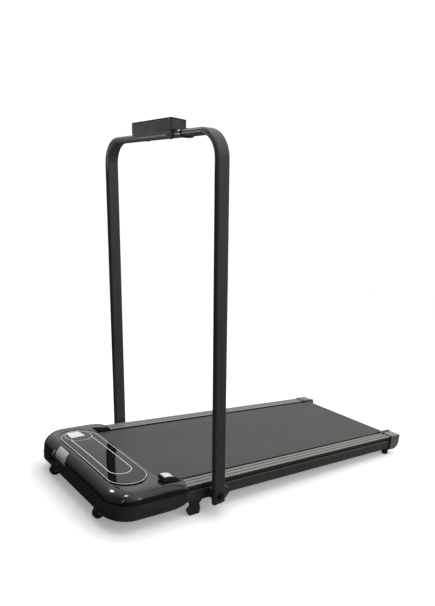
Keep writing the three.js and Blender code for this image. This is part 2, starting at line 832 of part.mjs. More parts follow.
function safetyKey() {
  const corners = earSlope.map(([y]) => y).filter((y) => y > keyFrom && y < keyFrom + keyLength);
  const sole = [keyFrom, ...corners, keyFrom + keyLength].map((y) => [y, earTopAt(y) + seat]);
  const crown = keyArchShare.map(([yShare, zShare]) => {
    const y = keyFrom + yShare * keyLength;
    return [y, earTopAt(y) + seat + zShare * keyHeight];
  });
  return prismX([...sole, ...crown], keyInner, keyInner + keyWidth);
}

// Pivot: a folded steel bracket on each channel, and a bolt that the handrail turns on
const bracketOuter = uprightX - tubeThickness / 2 - seat;
const bracketWall = 3.5;
const bracketLead = 13;
const bracketFront = pivotY - bracketLead;
const bracketLength = 64;
const bracketDrop = 24;
const bracketBottom = pivotZ - bracketDrop;
const bracketHeight = 35.5;
const bracketShare = [[0, 0.3], [0.35, 0], [0.72, 0], [1, 0.6], [1, 0.85], [0.85, 1], [0, 1]];
const pivotRadius = 5;
const pivotHead = 7;
const pivotHeadLength = 5;
const washerRadius = 10.5;
const washerThickness = 1.6;

function pivotBracket(sign) {
  const outline = bracketShare.map(([yShare, zShare]) => [
    bracketFront + yShare * bracketLength, bracketBottom + zShare * bracketHeight]);
  const hollow = prismX(insetOutline(outline, bracketWall), sign * (railOuter - overrun),
    sign * (bracketOuter - bracketWall));
  const hole = rodX(pivotRadius + running, sign * (railOuter - overrun), sign * (bracketOuter + overrun),
    pivotY, pivotZ);
  return cut(prismX(outline, sign * (railOuter + seat), sign * bracketOuter), hollow, hole);
}

function pivotBolt(sign) {
  const nutOuter = bracketOuter - bracketWall - seat;
  const washer = uprightX + tubeThickness / 2 + seat;
  const head = washer + washerThickness;
  const at = (from, to, radius, facets) => rodX(radius, sign * from, sign * to, pivotY, pivotZ, facets);
  return join(at(nutOuter - pivotHeadLength, head + pivotHeadLength, pivotRadius, 24),
    at(nutOuter - pivotHeadLength, nutOuter, pivotHead, 6), at(washer, head, washerRadius, 24),
    at(head, head + pivotHeadLength, pivotHead, 6));
}

// Handrail: one flat-oval tube bent into a hoop, drawn from its pivot
const tubeTail = 21;
const bendSteps = 9;

// A path whose stations are given, so that straight lengths take one step and bends take several
class StationPath extends THREE.Curve {
  constructor(stations) {
    super();
    this.stations = stations;
  }

  at(t) {
    return this.stations[Math.round(t * (this.stations.length - 1))];
  }

  getPoint(t, target = new THREE.Vector3()) {
    return target.copy(this.at(t).point);
  }

  getTangent(t, target = new THREE.Vector3()) {
    return target.copy(this.at(t).tangent);
  }

  getUtoTmapping(u) {
    return u;
  }
}

function hoopPath() {
  const station = (x, z, tx, tz) => ({
    point: new THREE.Vector3(x, 0, z), tangent: new THREE.Vector3(tx, 0, tz) });
  const bendX = uprightX - bendRadius;
  const bendZ = handrailHeight - bendRadius;
  const bend = (centreX, from) => Array.from({ length: bendSteps + 1 }, (_, i) => {
    const angle = from + (i * quarterTurn) / bendSteps;
    const [cos, sin] = [Math.cos(angle), Math.sin(angle)];
    return station(centreX + bendRadius * cos, bendZ + bendRadius * sin, -sin, cos);
  });
  return new StationPath([
    station(uprightX, -tubeTail, 0, 1), ...bend(bendX, 0), ...bend(-bendX, quarterTurn),
    station(-uprightX, -tubeTail, 0, -1)]);
}

function handrailTube() {
  const path = hoopPath();
  const [halfDepth, half] = [tubeDepth / 2, tubeThickness / 2];
  const outer = roundedBox(halfDepth, half, half, 5);
  const inner = roundedBox(halfDepth - tubeWall, half - tubeWall, half - tubeWall, 3);
  const hoop = new THREE.ExtrudeGeometry(toShape(outer, [inner]), {
    extrudePath: path, steps: path.stations.length - 1, bevelEnabled: false });
  const holes = sides.flatMap(([, sign]) => [
    rodX(pivotRadius + running, sign * (uprightX - tubeThickness), sign * (uprightX + tubeThickness), 0, 0),
    rodZ(screwRadius + seat, handrailHeight - tubeThickness, handrailHeight + tubeThickness,
      sign * screwX, 0, 16)]);
  return cut(hoop, ...holes);
}

const plugDepth = 9;
const plugHead = 2.4;

function endPlug(sign) {
  const low = -tubeTail - seat;
  const section = roundedBox(tubeThickness / 2, tubeDepth / 2, tubeThickness / 2, 5);
  const head = prismZ(section, low - plugHead, low);
  const tongue = prismZ(roundedBox(tubeThickness / 2 - tubeWall - seat, tubeDepth / 2 - tubeWall - seat,
    tubeThickness / 2 - tubeWall - seat, 3), low - seat, low + plugDepth);
  return join(head, tongue).translate(sign * uprightX, 0, 0);
}

// Console: a shallow box screwed onto the crossbar, with a gloss face that tilts to the walker
const barTop = handrailHeight + tubeThickness / 2;
const barBottom = handrailHeight - tubeThickness / 2;
const consoleFront = -28;
const consoleCorner = 6;
const consoleSkin = 2.5;
const consoleFloor = 8;
const faceThickness = 3;
const apronDrop = 6;
const lipInset = 28;
const lipFrom = consoleWidth / 2 - lipInset;
const lipWidth = 25;
const lipDrop = 20;
const lipThickness = 5;
const lipCorner = 7;
const screwInset = 45;
const screwX = consoleWidth / 2 - screwInset;
const screwRadius = 2.5;
const screwHead = 4.8;
const screwHeadLength = 2.6;
const screwGrip = 5;
const collarReach = 26.5;
const collarX = consoleWidth / 2 + collarReach;
const collarWidth = 14;
const collarThickness = 3;
const buttonRadius = 6;
const buttonFlange = 1.4;
const buttonStem = 2.6;
const buttonProud = 1.3;
const buttonShares = [['start_stop_button', 0.42], ['speed_up_button', 0.62], ['speed_down_button', 0.8]];
const buttonPlaces = buttonShares.map(([name, xShare]) => [name, (xShare * consoleWidth) / 2]);

function consolePlan(inset) {
  const plan = roundedBox(consoleWidth / 2 - inset, consoleDepth / 2 - inset, consoleCorner - inset, 4);
  return shift(plan, 0, consoleFront + consoleDepth / 2);
}

const consoleBottom = barTop + seat;
const faceBottom = consoleBottom + consoleHeight - faceThickness;
const consoleRim = faceBottom - seat;
const buttonY = consoleFront + consoleDepth / 2;

// Leans a piece back about the front edge of the console's rim
function tip(geometry) {
  return geometry.translate(0, -consoleFront, -consoleRim).rotateX(-consoleTilt)
    .translate(0, consoleFront, consoleRim);
}

function consoleBody() {
  const half = consoleWidth / 2;
  const shell = prismZ(consolePlan(0), consoleBottom, consoleRim);
  const hollow = prismZ(consolePlan(consoleSkin), consoleBottom + consoleFloor, consoleRim + overrun);
  const slope = tip(block([-half - overrun, half + overrun],
    [consoleFront - overrun, consoleFront + 2 * consoleDepth], [consoleRim, consoleRim + consoleHeight]));
  const back = -tubeDepth / 2 - seat;
  const apron = block([consoleCorner - half, half - consoleCorner], [consoleFront, back],
    [consoleBottom - apronDrop, consoleBottom + consoleFloor / 2]);
  const lipEnd = lipFrom + lipWidth;
  const lipZ = consoleBottom - lipDrop + lipCorner;
  const lipOutline = [[lipEnd, consoleBottom], [lipFrom, consoleBottom],
    ...arc([lipFrom + lipCorner, lipZ], lipCorner, halfTurn, halfTurn + quarterTurn, 5),
    ...arc([lipEnd - lipCorner, lipZ], lipCorner, -quarterTurn, 0, 5)];
  const lip = prismY(lipOutline, back - lipThickness, back);
  const bores = sides.map(([, sign]) => rodZ(screwRadius + seat, consoleBottom - overrun,
    consoleBottom + screwGrip + seat, sign * screwX, 0, 16));
  return cut(join(shell, apron, lip), hollow, slope, ...bores);
}

// A screw up through the crossbar into the console's floor
function consoleScrew(sign) {
  const under = barBottom - seat;
  const x = sign * screwX;
  return join(rodZ(screwRadius, under - screwHeadLength / 2, consoleBottom + screwGrip, x, 0, 16),
    rodZ(screwHead, under - screwHeadLength, under, x, 0, 16));
}

function consoleFace() {
  const top = faceBottom + faceThickness;
  const holes = buttonPlaces.map(([, x]) => (
    rodZ(buttonRadius + seat, faceBottom - overrun, top + overrun, x, buttonY)));
  return tip(cut(prismZ(consolePlan(0), faceBottom, top), ...holes));
}

// A push button with a flange that keeps it under the face
function pushButton(x) {
  const top = faceBottom + faceThickness + buttonProud;
  const flange = faceBottom - seat;
  return tip(join(rodZ(buttonRadius, flange - buttonStem, top, x, buttonY),
    rodZ(buttonRadius + buttonFlange, flange - buttonStem, flange, x, buttonY)));
}

// A ring clamped round the crossbar beside the console
function barSection(gap) {
  return shift(roundedBox(tubeDepth / 2 + gap, tubeThickness / 2 + gap, tubeThickness / 2 + gap, 5),
    0, handrailHeight);
}

function clampCollar() {
  return prismX(barSection(seat + collarThickness), collarX - collarWidth / 2, collarX + collarWidth / 2,
    [barSection(seat)]);
}

// Putting the machine together
add(deck, 'hood_cover', hoodCover(), glossBlack);
add(deck, 'hood_panel', hoodPanel(), panelBlack);
add(deck, 'hood_base', hoodBase(), matteBlack);
add(deck, 'display_board', displayBoard(), boardGreen);
add(deck, 'power_inlet', powerInlet(), matteBlack);
const rocker = add(deck, 'power_switch', powerSwitch(), switchRed);
rocker.position.set(rockerX, inletFace + rockerPinDepth + rockerFace, inletZ);
rocker.rotation.z = -radians(rockerTiltDegrees);
add(deck, 'control_box', controlBox(), bareSteel);
add(deck, 'motor_body', motorBody(), steelBlack);
add(deck, 'motor_rotor', motorRotor(), bareSteel);
add(deck, 'motor_saddle', motorSaddle(), steelBlack);
add(deck, 'drive_belt', driveBelt(), rubberBlack);
add(deck, 'drive_roller', driveRoller(), bareSteel);
add(deck, 'drive_shaft', rollerShaft(driveRollerY), bareSteel);
add(deck, 'tail_roller', tailRoller(), bareSteel);
add(deck, 'tail_shaft', rollerShaft(tailRollerY), bareSteel);
add(deck, 'running_belt', runningBelt(), beltGrey);
add(deck, 'deck_board', deckBoard(), boardBrown);
add(deck, 'cross_plate', crossPlate(), steelBlack);
for (const [place, yShare] of tieShares) {
  const y = boardStart + yShare * (boardEnd - boardStart);
  add(deck, `cross_tie_${place}`, crossTie(y), steelBlack);
  add(deck, `deck_cushion_${place}`, deckCushion(y), rubberBlack);
}
add(deck, 'safety_key', safetyKey(), keyGrey);

for (const [side, sign] of sides) {
  add(deck, `side_rail_${side}`, sideRail(sign), steelBlack);
  add(deck, `foot_rail_${side}`, footRail(sign), railGrey);
  add(deck, `end_cap_${side}`, endCap(sign), capGrey);
  add(deck, `roller_guard_${side}`, rollerGuard(sign), matteBlack);
  add(deck, `tension_bolt_${side}`, tensionBolt(sign), bareSteel);
  add(deck, `front_foot_${side}`, frontFoot(sign), rubberBlack);
  const foot = add(deck, `rear_foot_${side}`, rearFoot(), rubberBlack);
  foot.position.set(sign * (railOuter - railWidth / 2 - railWall), rearFootY, floorAt(rearFootY));
  foot.rotation.x = incline;
  add(deck, `wheel_fork_${side}`, wheelFork(sign), steelBlack);
  add(deck, `wheel_axle_${side}`, wheelAxle(sign), bareSteel);
  const wheel = add(deck, `transport_wheel_${side}`, transportWheel(), rubberBlack);
  wheel.position.set(sign * wheelX, wheelY, wheelZ);
  add(deck, `pivot_bracket_${side}`, pivotBracket(sign), steelBlack);
  add(deck, `pivot_bolt_${side}`, pivotBolt(sign), bareSteel);
  add(handrail, `end_plug_${side}`, endPlug(sign), matteBlack);
  add(handrail, `console_screw_${side}`, consoleScrew(sign), bareSteel);
}

add(handrail, 'handrail_tube', handrailTube(), steelBlack);
add(handrail, 'console_body', consoleBody(), matteBlack);
add(handrail, 'console_face', consoleFace(), panelBlack);
add(handrail, 'clamp_collar', clampCollar(), matteBlack);
for (const [name, x] of buttonPlaces) {
  add(handrail, name, pushButton(x), keyGrey);
}

// The origin goes to the middle of the bounding box, on the floor
treadmill.updateMatrixWorld(true);
const bounds = new THREE.Box3().setFromObject(treadmill, true);
const middle = bounds.getCenter(new THREE.Vector3());
deck.position.set(-middle.x, -middle.y, -bounds.min.z);

export default treadmill;
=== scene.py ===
import json
import math
import bpy
import bmesh
from mathutils import Matrix, Vector

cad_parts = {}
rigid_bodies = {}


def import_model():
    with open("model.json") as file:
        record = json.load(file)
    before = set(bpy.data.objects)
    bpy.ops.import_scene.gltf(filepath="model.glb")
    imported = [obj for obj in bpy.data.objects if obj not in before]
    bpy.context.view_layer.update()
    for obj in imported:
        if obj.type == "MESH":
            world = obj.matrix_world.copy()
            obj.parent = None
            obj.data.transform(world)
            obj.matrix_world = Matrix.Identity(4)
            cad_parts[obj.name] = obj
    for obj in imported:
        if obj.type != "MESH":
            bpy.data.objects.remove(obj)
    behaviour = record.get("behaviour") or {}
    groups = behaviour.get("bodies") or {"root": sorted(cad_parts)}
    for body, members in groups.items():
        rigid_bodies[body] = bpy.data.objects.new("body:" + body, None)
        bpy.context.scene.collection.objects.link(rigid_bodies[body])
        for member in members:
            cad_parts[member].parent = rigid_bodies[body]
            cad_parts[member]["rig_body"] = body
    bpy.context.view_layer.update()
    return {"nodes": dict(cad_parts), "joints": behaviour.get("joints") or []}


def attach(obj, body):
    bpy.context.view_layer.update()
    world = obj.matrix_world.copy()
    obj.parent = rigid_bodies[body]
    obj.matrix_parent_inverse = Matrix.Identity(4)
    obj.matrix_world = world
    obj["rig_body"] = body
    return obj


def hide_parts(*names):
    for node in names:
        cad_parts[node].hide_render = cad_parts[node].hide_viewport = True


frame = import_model()

# The studio. White paper lies under a broad pale ceiling, in a room that is darker towards the front and
# the floor, which leaves the machine's sides black. Two of the lamps show only in its gloss. The camera
# was held at table height, a little off level.
mm = 0.001


def linear(code):
    """A colour written as sRGB hex, turned into the linear values that the shaders take."""
    shares = [int(code[place:place + 2], 16) / 255 for place in (1, 3, 5)]
    return [share / 12.92 if share <= 0.04045 else ((share + 0.055) / 1.055) ** 2.4
            for share in shares] + [1]


def add_node(tree, kind, inputs, **settings):
    """One shader node. Inputs give its sockets a value or another node's output, settings its options."""
    made = tree.nodes.new(f"ShaderNode{kind}")
    for option, value in settings.items():
        setattr(made, option, value)
    for socket, value in inputs.items():
        if isinstance(value, bpy.types.NodeSocket):
            tree.links.new(value, made.inputs[socket])
        else:
            made.inputs[socket].default_value = value
    return made


def open_finish(name, shelf=bpy.data.materials):
    """An empty material, or another thing from its own shelf, and its node tree."""
    made = shelf.new(name)
    made.use_nodes = True
    made.node_tree.nodes.clear()
    return made, made.node_tree


def close_finish(tree, shader):
    add_node(tree, "OutputMaterial", {"Surface": shader.outputs[0]})


def grade(tree, share, *stops):
    """A colour ramp of (place, colour) stops."""
    ramp = add_node(tree, "ValToRGB", {0: share})
    while len(ramp.color_ramp.elements) < len(stops):
        ramp.color_ramp.elements.new(0.5)
    for element, (place, colour) in zip(ramp.color_ramp.elements, stops):
        element.position = place
        element.color = linear(colour)
    return ramp.outputs["Color"]


def put(name, data):
    """A new object in the scene."""
    holder = bpy.data.objects.new(name, data)
    bpy.context.scene.collection.objects.link(holder)
    return holder


# Solved from the corners of deck, hood and hoop in the photograph.
eye = put("camera", bpy.data.cameras.new("camera"))
eye.location = (1.3654, -1.2601, 0.7823)
eye.rotation_euler = [math.radians(angle) for angle in (81.59, -6.372, 49.22)]
eye.data.lens = 32.4
eye.data.sensor_width = 36
eye.data.shift_x = -0.0432
eye.data.shift_y = 0.0211
bpy.context.scene.camera = eye
bpy.context.scene.view_settings.view_transform = "Standard"

# The room's light is darker towards the floor and weaker from the front. The camera sees plain white.
room, tree = open_finish("studio_room", bpy.data.worlds)
ray = add_node(tree, "TexCoord", {}).outputs["Generated"]
heading = add_node(tree, "SeparateXYZ", {"Vector": ray})
rise = add_node(tree, "MapRange", {"Value": heading.outputs["Z"], "From Min": -1.0})
ahead = add_node(tree, "MapRange", {
    "Value": heading.outputs["Y"], "From Min": -0.6, "From Max": 0.1, "To Min": 0.2, "To Max": 1.27})
wall_tone = grade(tree, rise.outputs["Result"], (0.0, "#4a4a48"), (0.49, "#48494c"),
                  (0.54, "#7d8086"), (0.64, "#cfd1d2"), (0.76, "#eeeeec"), (1.0, "#ffffff"))
walls = add_node(tree, "Background", {"Color": wall_tone, "Strength": ahead.outputs["Result"]})
backdrop = add_node(tree, "Background", {"Color": linear("#ffffff"), "Strength": 1.05})
seen = add_node(tree, "LightPath", {})
around = add_node(tree, "MixShader", {
    0: seen.outputs["Is Camera Ray"], 1: walls.outputs[0], 2: backdrop.outputs[0]})
add_node(tree, "OutputWorld", {"Surface": around.outputs[0]})
bpy.context.scene.world = room


def softbox(name, place, aim, width, height, power):
    """A flat lamp, in metres and watts, which the camera doesn't see."""
    lamp = bpy.data.lights.new(name, "AREA")
    lamp.shape = "RECTANGLE"
    lamp.size = width
    lamp.size_y = height
    lamp.energy = power
    holder = put(name, lamp)
    holder.location = place
    holder.rotation_euler = (Vector(aim) - Vector(place)).to_track_quat("-Z", "Y").to_euler()
    holder.visible_camera = False
    return holder


softbox("overhead_softbox", (-0.3, 0.5, 3.0), (0, 0, 0), 3.0, 3.0, 34).visible_glossy = False
softbox("ceiling_lamp_left", (-1.8, -1.33, 2.3), (0, -0.5, 0), 0.45, 0.45, 12).visible_diffuse = False
softbox("ceiling_lamp_middle", (0.2, -1.1, 2.9), (0, -0.5, 0), 0.45, 0.45, 12).visible_diffuse = False
softbox("card_under_the_bar", (-0.1, -0.62, 0.93), (-0.1, -0.6, 2), 0.5, 0.1, 1.3)
softbox("strip_by_camera", (1.5, -2.2, 1.3), (0, 0, 0.6), 0.12, 1.4, 2.2)
softbox("strip_at_side", (2.6, 0.6, 1.2), (0, 0, 0.5), 0.25, 1.6, 4)
softbox("card_at_the_tail", (0.8, 1.1, 0.35), (0.25, 0.5, 0.03), 0.4, 0.4, 1.3)

# Matt paper with a faint mottle. A little light of its own keeps it white to its far edge.
paper_half = 9
paper_drop = 0.5 * mm
paper, tree = open_finish("seamless_paper")
mottle = add_node(tree, "TexNoise", {"Scale": 3.0, "Detail": 2.0})
close_finish(tree, add_node(tree, "BsdfPrincipled", {
    "Base Color": grade(tree, mottle.outputs["Fac"], (0.3, "#f4f5f6"), (0.7, "#fafafa")), "Roughness": 0.9,
    "Specular IOR Level": 0.2, "Emission Color": linear("#ffffff"), "Emission Strength": 0.27}))
sheet = bmesh.new()
bmesh.ops.create_grid(sheet, x_segments=8, y_segments=8, size=paper_half)
floor = put("floor", bpy.data.meshes.new("floor"))
sheet.to_mesh(floor.data)
floor.location = (0, 0, -paper_drop)
floor.data.materials.append(paper)
for kind in ("diffuse", "glossy", "shadow"):
    setattr(floor, f"visible_{kind}", False)

# Deck channels. Two cold-rolled steel C sections carry everything. They are folded from 2 mm sheet, so
# their corners are round, and are powder coated in satin black, which leaves a fine orange peel.
cad = frame["nodes"]
joints = {joint["name"]: joint for joint in frame["joints"]}
across = Vector((1, 0, 0))
deck_up = Vector(joints["safety_key_pull"]["axis"])
deck_along = deck_up.cross(across)
pivot = Vector(joints["handrail_fold"]["pos_m"])
deck = Matrix.Translation(pivot) @ Matrix((across, deck_along, deck_up)).transposed().to_4x4()
hand_sides = {"left": 1, "right": -1}
quarter = math.pi / 2
full_turn = 2 * math.pi
straight = 0.02


def measure(node, space=deck):
    """Lowest and highest corner of a CAD node, along the axes of space."""
    back = space.inverted()
    places = [back @ vertex.co for vertex in cad[node].data.vertices]
    return [Vector([pick(place[axis] for place in places) for axis in range(3)]) for pick in (min, max)]


def measure_side(node, sign):
    """Lowest and highest corner of a CAD node, then its x beside the belt and its x away from it."""
    low, high = measure(node)
    return (low, high, low.x, high.x) if sign > 0 else (low, high, high.x, low.x)


def arc(centre, radius, start, end, steps):
    """Points of [a, b] along an arc."""
    angles = [start + (end - start) * step / steps for step in range(steps + 1)]
    return [(centre[0] + radius * math.cos(angle), centre[1] + radius * math.sin(angle)) for angle in angles]


def ring(centre, radius, steps=40):
    return arc(centre, radius, 0, full_turn, steps)[:-1]


def soften(corners, steps=6):
    """An outline of (a, b, radius) corners, with each corner rounded to its radius."""
    outline = []
    for place, (a, b, radius) in enumerate(corners):
        here = Vector((a, b))
        back = (Vector(corners[place - 1][:2]) - here).normalized()
        ahead = (Vector(corners[(place + 1) % len(corners)][:2]) - here).normalized()
        opening = back.angle(ahead, 0)
        if radius <= 0 or opening < straight or opening > math.pi - straight:
            outline.append((a, b))
            continue
        reach = radius / math.tan(opening / 2)
        centre = here + (back + ahead).normalized() * radius / math.sin(opening / 2)
        first = here + back * reach - centre
        last = here + ahead * reach - centre
        turn = math.atan2(first.cross(last), first.dot(last))
        start = math.atan2(first.y, first.x)
        outline += arc(centre, radius, start, start + turn, steps)
    return outline


def oblong(low_a, low_b, high_a, high_b, radius=0, steps=6):
    """A rectangle from one corner to the opposite one, with its corners rounded to a radius."""
    return soften([(low_a, low_b, radius), (high_a, low_b, radius),
                   (high_a, high_b, radius), (low_a, high_b, radius)], steps)


def skin(rings, ring_of_rings=False):
    """A closed skin over rings of points. It is capped at both ends, or joined into a ring of rings."""
    work = bmesh.new()
    loops = [[work.verts.new(point) for point in points] for points in rings]
    followers = loops[1:] + loops[:1] if ring_of_rings else loops[1:]
    for low, high in zip(loops, followers):
        for place in range(len(low)):
            beside = (place + 1) % len(low)
            work.faces.new((low[place], low[beside], high[beside], high[place]))
    if not ring_of_rings:
        work.faces.new(loops[0][::-1])
        work.faces.new(loops[-1])
    bmesh.ops.recalc_face_normals(work, faces=work.faces)
    return work


def press(outline, axis, start, end):
    """An outline pushed along an axis: x takes (y, z) points, y takes (x, z) and z takes (x, y)."""
    order = {"x": (2, 0, 1), "y": (0, 2, 1), "z": (0, 1, 2)}[axis]
    return skin([[[(a, b, level)[pick] for pick in order] for a, b in outline] for level in (start, end)])


def to_piece(name, work, space=deck):
    """A mesh drawn in the axes of space, made into an object in the machine's own frame."""
    work.transform(space)
    shape = bpy.data.meshes.new(name)
    work.to_mesh(shape)
    work.free()
    return put(name, shape)


def pressed(name, outline, axis, start, end, space=deck):
    """An outline pushed along an axis of space, made into an object."""
    return to_piece(name, press(outline, axis, start, end), space)


def settle(piece):
    """Turns a piece's modifiers into its mesh."""
    graph = bpy.context.evaluated_depsgraph_get()
    worked = bpy.data.meshes.new_from_object(piece.evaluated_get(graph))
    piece.modifiers.clear()
    piece.data = worked
    worked.name = piece.name


def trim(piece, *tools, action="DIFFERENCE"):
    """Cuts each tool out of a piece, or keeps what lies in it, and throws the tools away."""
    for tool in tools:
        saw = piece.modifiers.new("saw", "BOOLEAN")
        saw.operation = action
        saw.solver = "EXACT"
        saw.object = tool
    settle(piece)
    for tool in tools:
        bpy.data.objects.remove(tool)


def ease(piece, radius=0, steps=3, crease=38, even=True):
    """Rounds the sharp edges and shades the rest smooth. Weighted normals keep big flats flat."""
    if radius:
        edge = piece.modifiers.new("edge", "BEVEL")
        edge.width = radius
        edge.segments = steps
        edge.limit_method = "ANGLE"
        edge.angle_limit = math.radians(crease)
        edge.miter_outer = "MITER_ARC"
        settle(piece)
    piece.data.shade_smooth()
    piece.data.set_sharp_from_angle(angle=math.radians(crease))
    if even:
        piece.modifiers.new("even_normals", "WEIGHTED_NORMAL").keep_sharp = True


def fit_out(piece, coat, body, slot, *stands_for):
    """Coats a finished piece, hangs it on the body that carries it and hides the CAD nodes it stands for."""
    piece.data.materials.clear()
    piece.data.materials.append(coat)
    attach(piece, body)
    if stands_for:
        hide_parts(*stands_for)


def coat_finish(name, dark, pale, patch, grain, depth, roughness, spread, stretch=(1, 1, 1), **shader):
    """A coated or moulded surface: two close tones in soft patches, a fine relief and uneven gloss.
    The patches, the relief's grain and its depth are in millimetres."""
    material, tree = open_finish(name)
    place = add_node(tree, "TexCoord", {}).outputs["Object"]
    laid = add_node(tree, "Mapping", {"Vector": place, "Scale": stretch}).outputs["Vector"]
    clouds = add_node(tree, "TexNoise", {"Vector": laid, "Scale": 1 / (patch * mm), "Detail": 4.0})
    relief = add_node(tree, "TexNoise", {"Vector": laid, "Scale": 1 / (grain * mm), "Detail": 3.0})
    sheen = add_node(tree, "MapRange", {
        "Value": clouds.outputs["Fac"], "To Min": roughness - spread, "To Max": roughness + spread})
    bump = add_node(tree, "Bump", {
        "Height": relief.outputs["Fac"], "Strength": 0.6, "Distance": depth * mm})
    own = {socket.replace("_", " "): value for socket, value in shader.items()}
    close_finish(tree, add_node(tree, "BsdfPrincipled", {
        "Base Color": grade(tree, clouds.outputs["Fac"], (0.3, dark), (0.7, pale)),
        "Roughness": sheen.outputs["Result"], "Normal": bump.outputs["Normal"], **own}))
    return material


weld = 0.01 * mm
flat_angle = math.radians(0.6)


def refine(node, name, coat, slot, radius):
    """A CAD piece with its facets joined up and its edges rounded, as they are on the real one."""
    work = bmesh.new()
    work.from_mesh(cad[node].data)
    bmesh.ops.remove_doubles(work, verts=work.verts, dist=weld)
    bmesh.ops.dissolve_limit(work, angle_limit=flat_angle, verts=work.verts, edges=work.edges)
    piece = to_piece(name, work, Matrix())
    ease(piece, radius)
    fit_out(piece, coat, cad[node]["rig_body"], slot, node)
    return piece


def recoat(coat, *nodes):
    """Gives CAD nodes that keep their own shape a finish."""
    for node in nodes:
        cad[node].data.materials.clear()
        cad[node].data.materials.append(coat)


# Powder coat: polyester powder baked on steel. It has a satin sheen, IOR 1.5, and an orange peel of
# about 1.5 mm, drawn at 3 mm so that it shows. The channels' batch is a shade warmer than the hoop's.
powder_coat = coat_finish("powder_coat", "#3b3d40", "#434548", 60, 3, 0.03, 0.42, 0.06)
channel_coat = coat_finish("channel_powder_coat", "#3e3e3b", "#464743", 60, 3, 0.03, 0.42, 0.06)
channel_wall = 2 * mm
channel_bend = 3.2 * mm
inside_bend = channel_bend - channel_wall
for side, sign in hand_sides.items():
    low, high, inner, outer = measure_side(f"side_rail_{side}", sign)
    web = outer - sign * channel_wall
    profile = soften([
        (inner, low.z, 0), (outer, low.z, channel_bend), (outer, high.z, channel_bend), (inner, high.z, 0),
        (inner, high.z - channel_wall, 0), (web, high.z - channel_wall, inside_bend),
        (web, low.z + channel_wall, inside_bend), (inner, low.z + channel_wall, 0)])
    channel = pressed(f"deck_channel_{side}", profile, "y", low.y, high.y)
    ease(channel, 0.3 * mm, steps=2)
    fit_out(channel, channel_coat, "deck", "frame_black", f"side_rail_{side}")

# Deck floor. Box-section ties and a front plate of steel are welded between the channels. A waxed
# fibreboard deck lies on rubber cushions over them, and its long fibres show at the cut edges.
# Wax leaves the board's brown fibres dull. The cushions' rubber is dull too, and nearly black.
fibreboard = coat_finish("waxed_fibreboard", "#6e5a42", "#8a7355", 25, 1, 0.04, 0.6, 0.08, (1, 0.15, 4))
cushion_rubber = coat_finish("cushion_rubber", "#1a1a1b", "#232324", 20, 0.8, 0.05, 0.8, 0.08)
frame_edge = 0.8 * mm
refine("cross_plate", "front_plate", powder_coat, "frame_black", frame_edge)
for place in ("front", "middle", "rear"):
    refine(f"cross_tie_{place}", f"deck_tie_{place}", powder_coat, "frame_black", frame_edge)
    recoat(cushion_rubber, f"deck_cushion_{place}")
recoat(fibreboard, "deck_board")

# Drive. A permanent-magnet motor in a painted steel can turns the front roller by a ribbed belt. The
# rollers are drawn steel tube, turned on a lathe, so fine rings run round them, as on their shafts.
turned_steel = coat_finish("turned_steel", "#8d9094", "#a9acb0", 40, 0.6, 0.015, 0.28, 0.06,
                           (12, 1, 1), Metallic=1.0)
# Zinc plate is brighter, with small cloudy patches.
zinc_plate = coat_finish("zinc_plated_steel", "#8a8c8e", "#b3b5b6", 6, 0.5, 0.01, 0.32, 0.08, Metallic=1.0)
for shaft in ("drive", "tail"):
    refine(f"{shaft}_shaft", f"{shaft}_roller_shaft", turned_steel, "bare_steel", 0.6 * mm)
    refine(f"{shaft}_roller", f"{shaft}_roller_tube", turned_steel, "bare_steel", 0.3 * mm)
refine("motor_rotor", "motor_shaft_and_core", turned_steel, "bare_steel", 0.3 * mm)
refine("motor_body", "motor_can", powder_coat, "motor_steel", frame_edge)
refine("motor_saddle", "motor_cradle", powder_coat, "frame_black", frame_edge)
refine("drive_belt", "ribbed_drive_belt", cushion_rubber, "black_rubber", 0.2 * mm)

# Electronics. The motor controller sits in a finned aluminium box on the front plate. The display is
# a glass-epoxy circuit board with green solder mask, held up under the roof of the hood.
# Cast aluminium is pale and faintly grainy, and solder mask is a glossy film.
cast_aluminium = coat_finish("cast_aluminium", "#8f9193", "#a7a9aa", 12, 0.8, 0.05, 0.45, 0.08, Metallic=1.0)
solder_mask = coat_finish("solder_mask", "#12401f", "#1c5a2d", 8, 1.2, 0.03, 0.3, 0.05)
refine("control_box", "motor_controller", cast_aluminium, "heat_sink", 0.5 * mm)
recoat(solder_mask, "display_board")

# Hood base. An injection-moulded ABS tray that holds the motor. Its lower skirt steps in, its front
# has the inlet's window, and it is textured by the mould, so it is nearly matt.
grained_abs = coat_finish("grained_abs", "#353638", "#3d3e40", 45, 1.6, 0.05, 0.6, 0.08,
                          Specular_IOR_Level=0.2)
hood_corner = 70 * mm
skirt_step = 17 * mm
skirt_inset = 1.5 * mm
under_round = 5 * mm
tray_wall = 3.5 * mm
tray_floor = 3 * mm
overrun = 4 * mm
gap = 0.3 * mm
slot_room = 2 * mm
base_low, base_high = measure("hood_base")
channel_low, channel_high = measure("side_rail_left")


def round_under(radius, shares):
    """(inset, lift) of the levels that round a lower edge off, at shares of a quarter turn."""
    return [(radius * (1 - math.cos(quarter * share)), radius * (1 - math.sin(quarter * share)))
            for share in shares]


def hood_plan(inset, front_inset, rear, steps=20):
    """The hood from above: straight sides, a flat front and two round corners."""
    side = hood_corner - inset
    lead = hood_corner - front_inset
    middle = base_high.x - hood_corner
    turns = [(place, quarter * step / steps) for place in (-1, 1) for step in range(steps + 1)]
    corners = []
    for place, turn in turns:
        out = math.cos(turn) if place < 0 else math.sin(turn)
        ahead = math.sin(turn) if place < 0 else math.cos(turn)
        corners.append((place * (middle + side * out), base_low.y + hood_corner - lead * ahead))
    return corners + [(base_high.x - inset, rear), (inset - base_high.x, rear)]


def hood_loft(levels, rear):
    """The hood's plan at each (inset, inset at the front, height), joined into one skin."""
    return skin([[(x, y, height) for x, y in hood_plan(inset, front, rear)]
                 for inset, front, height in levels])


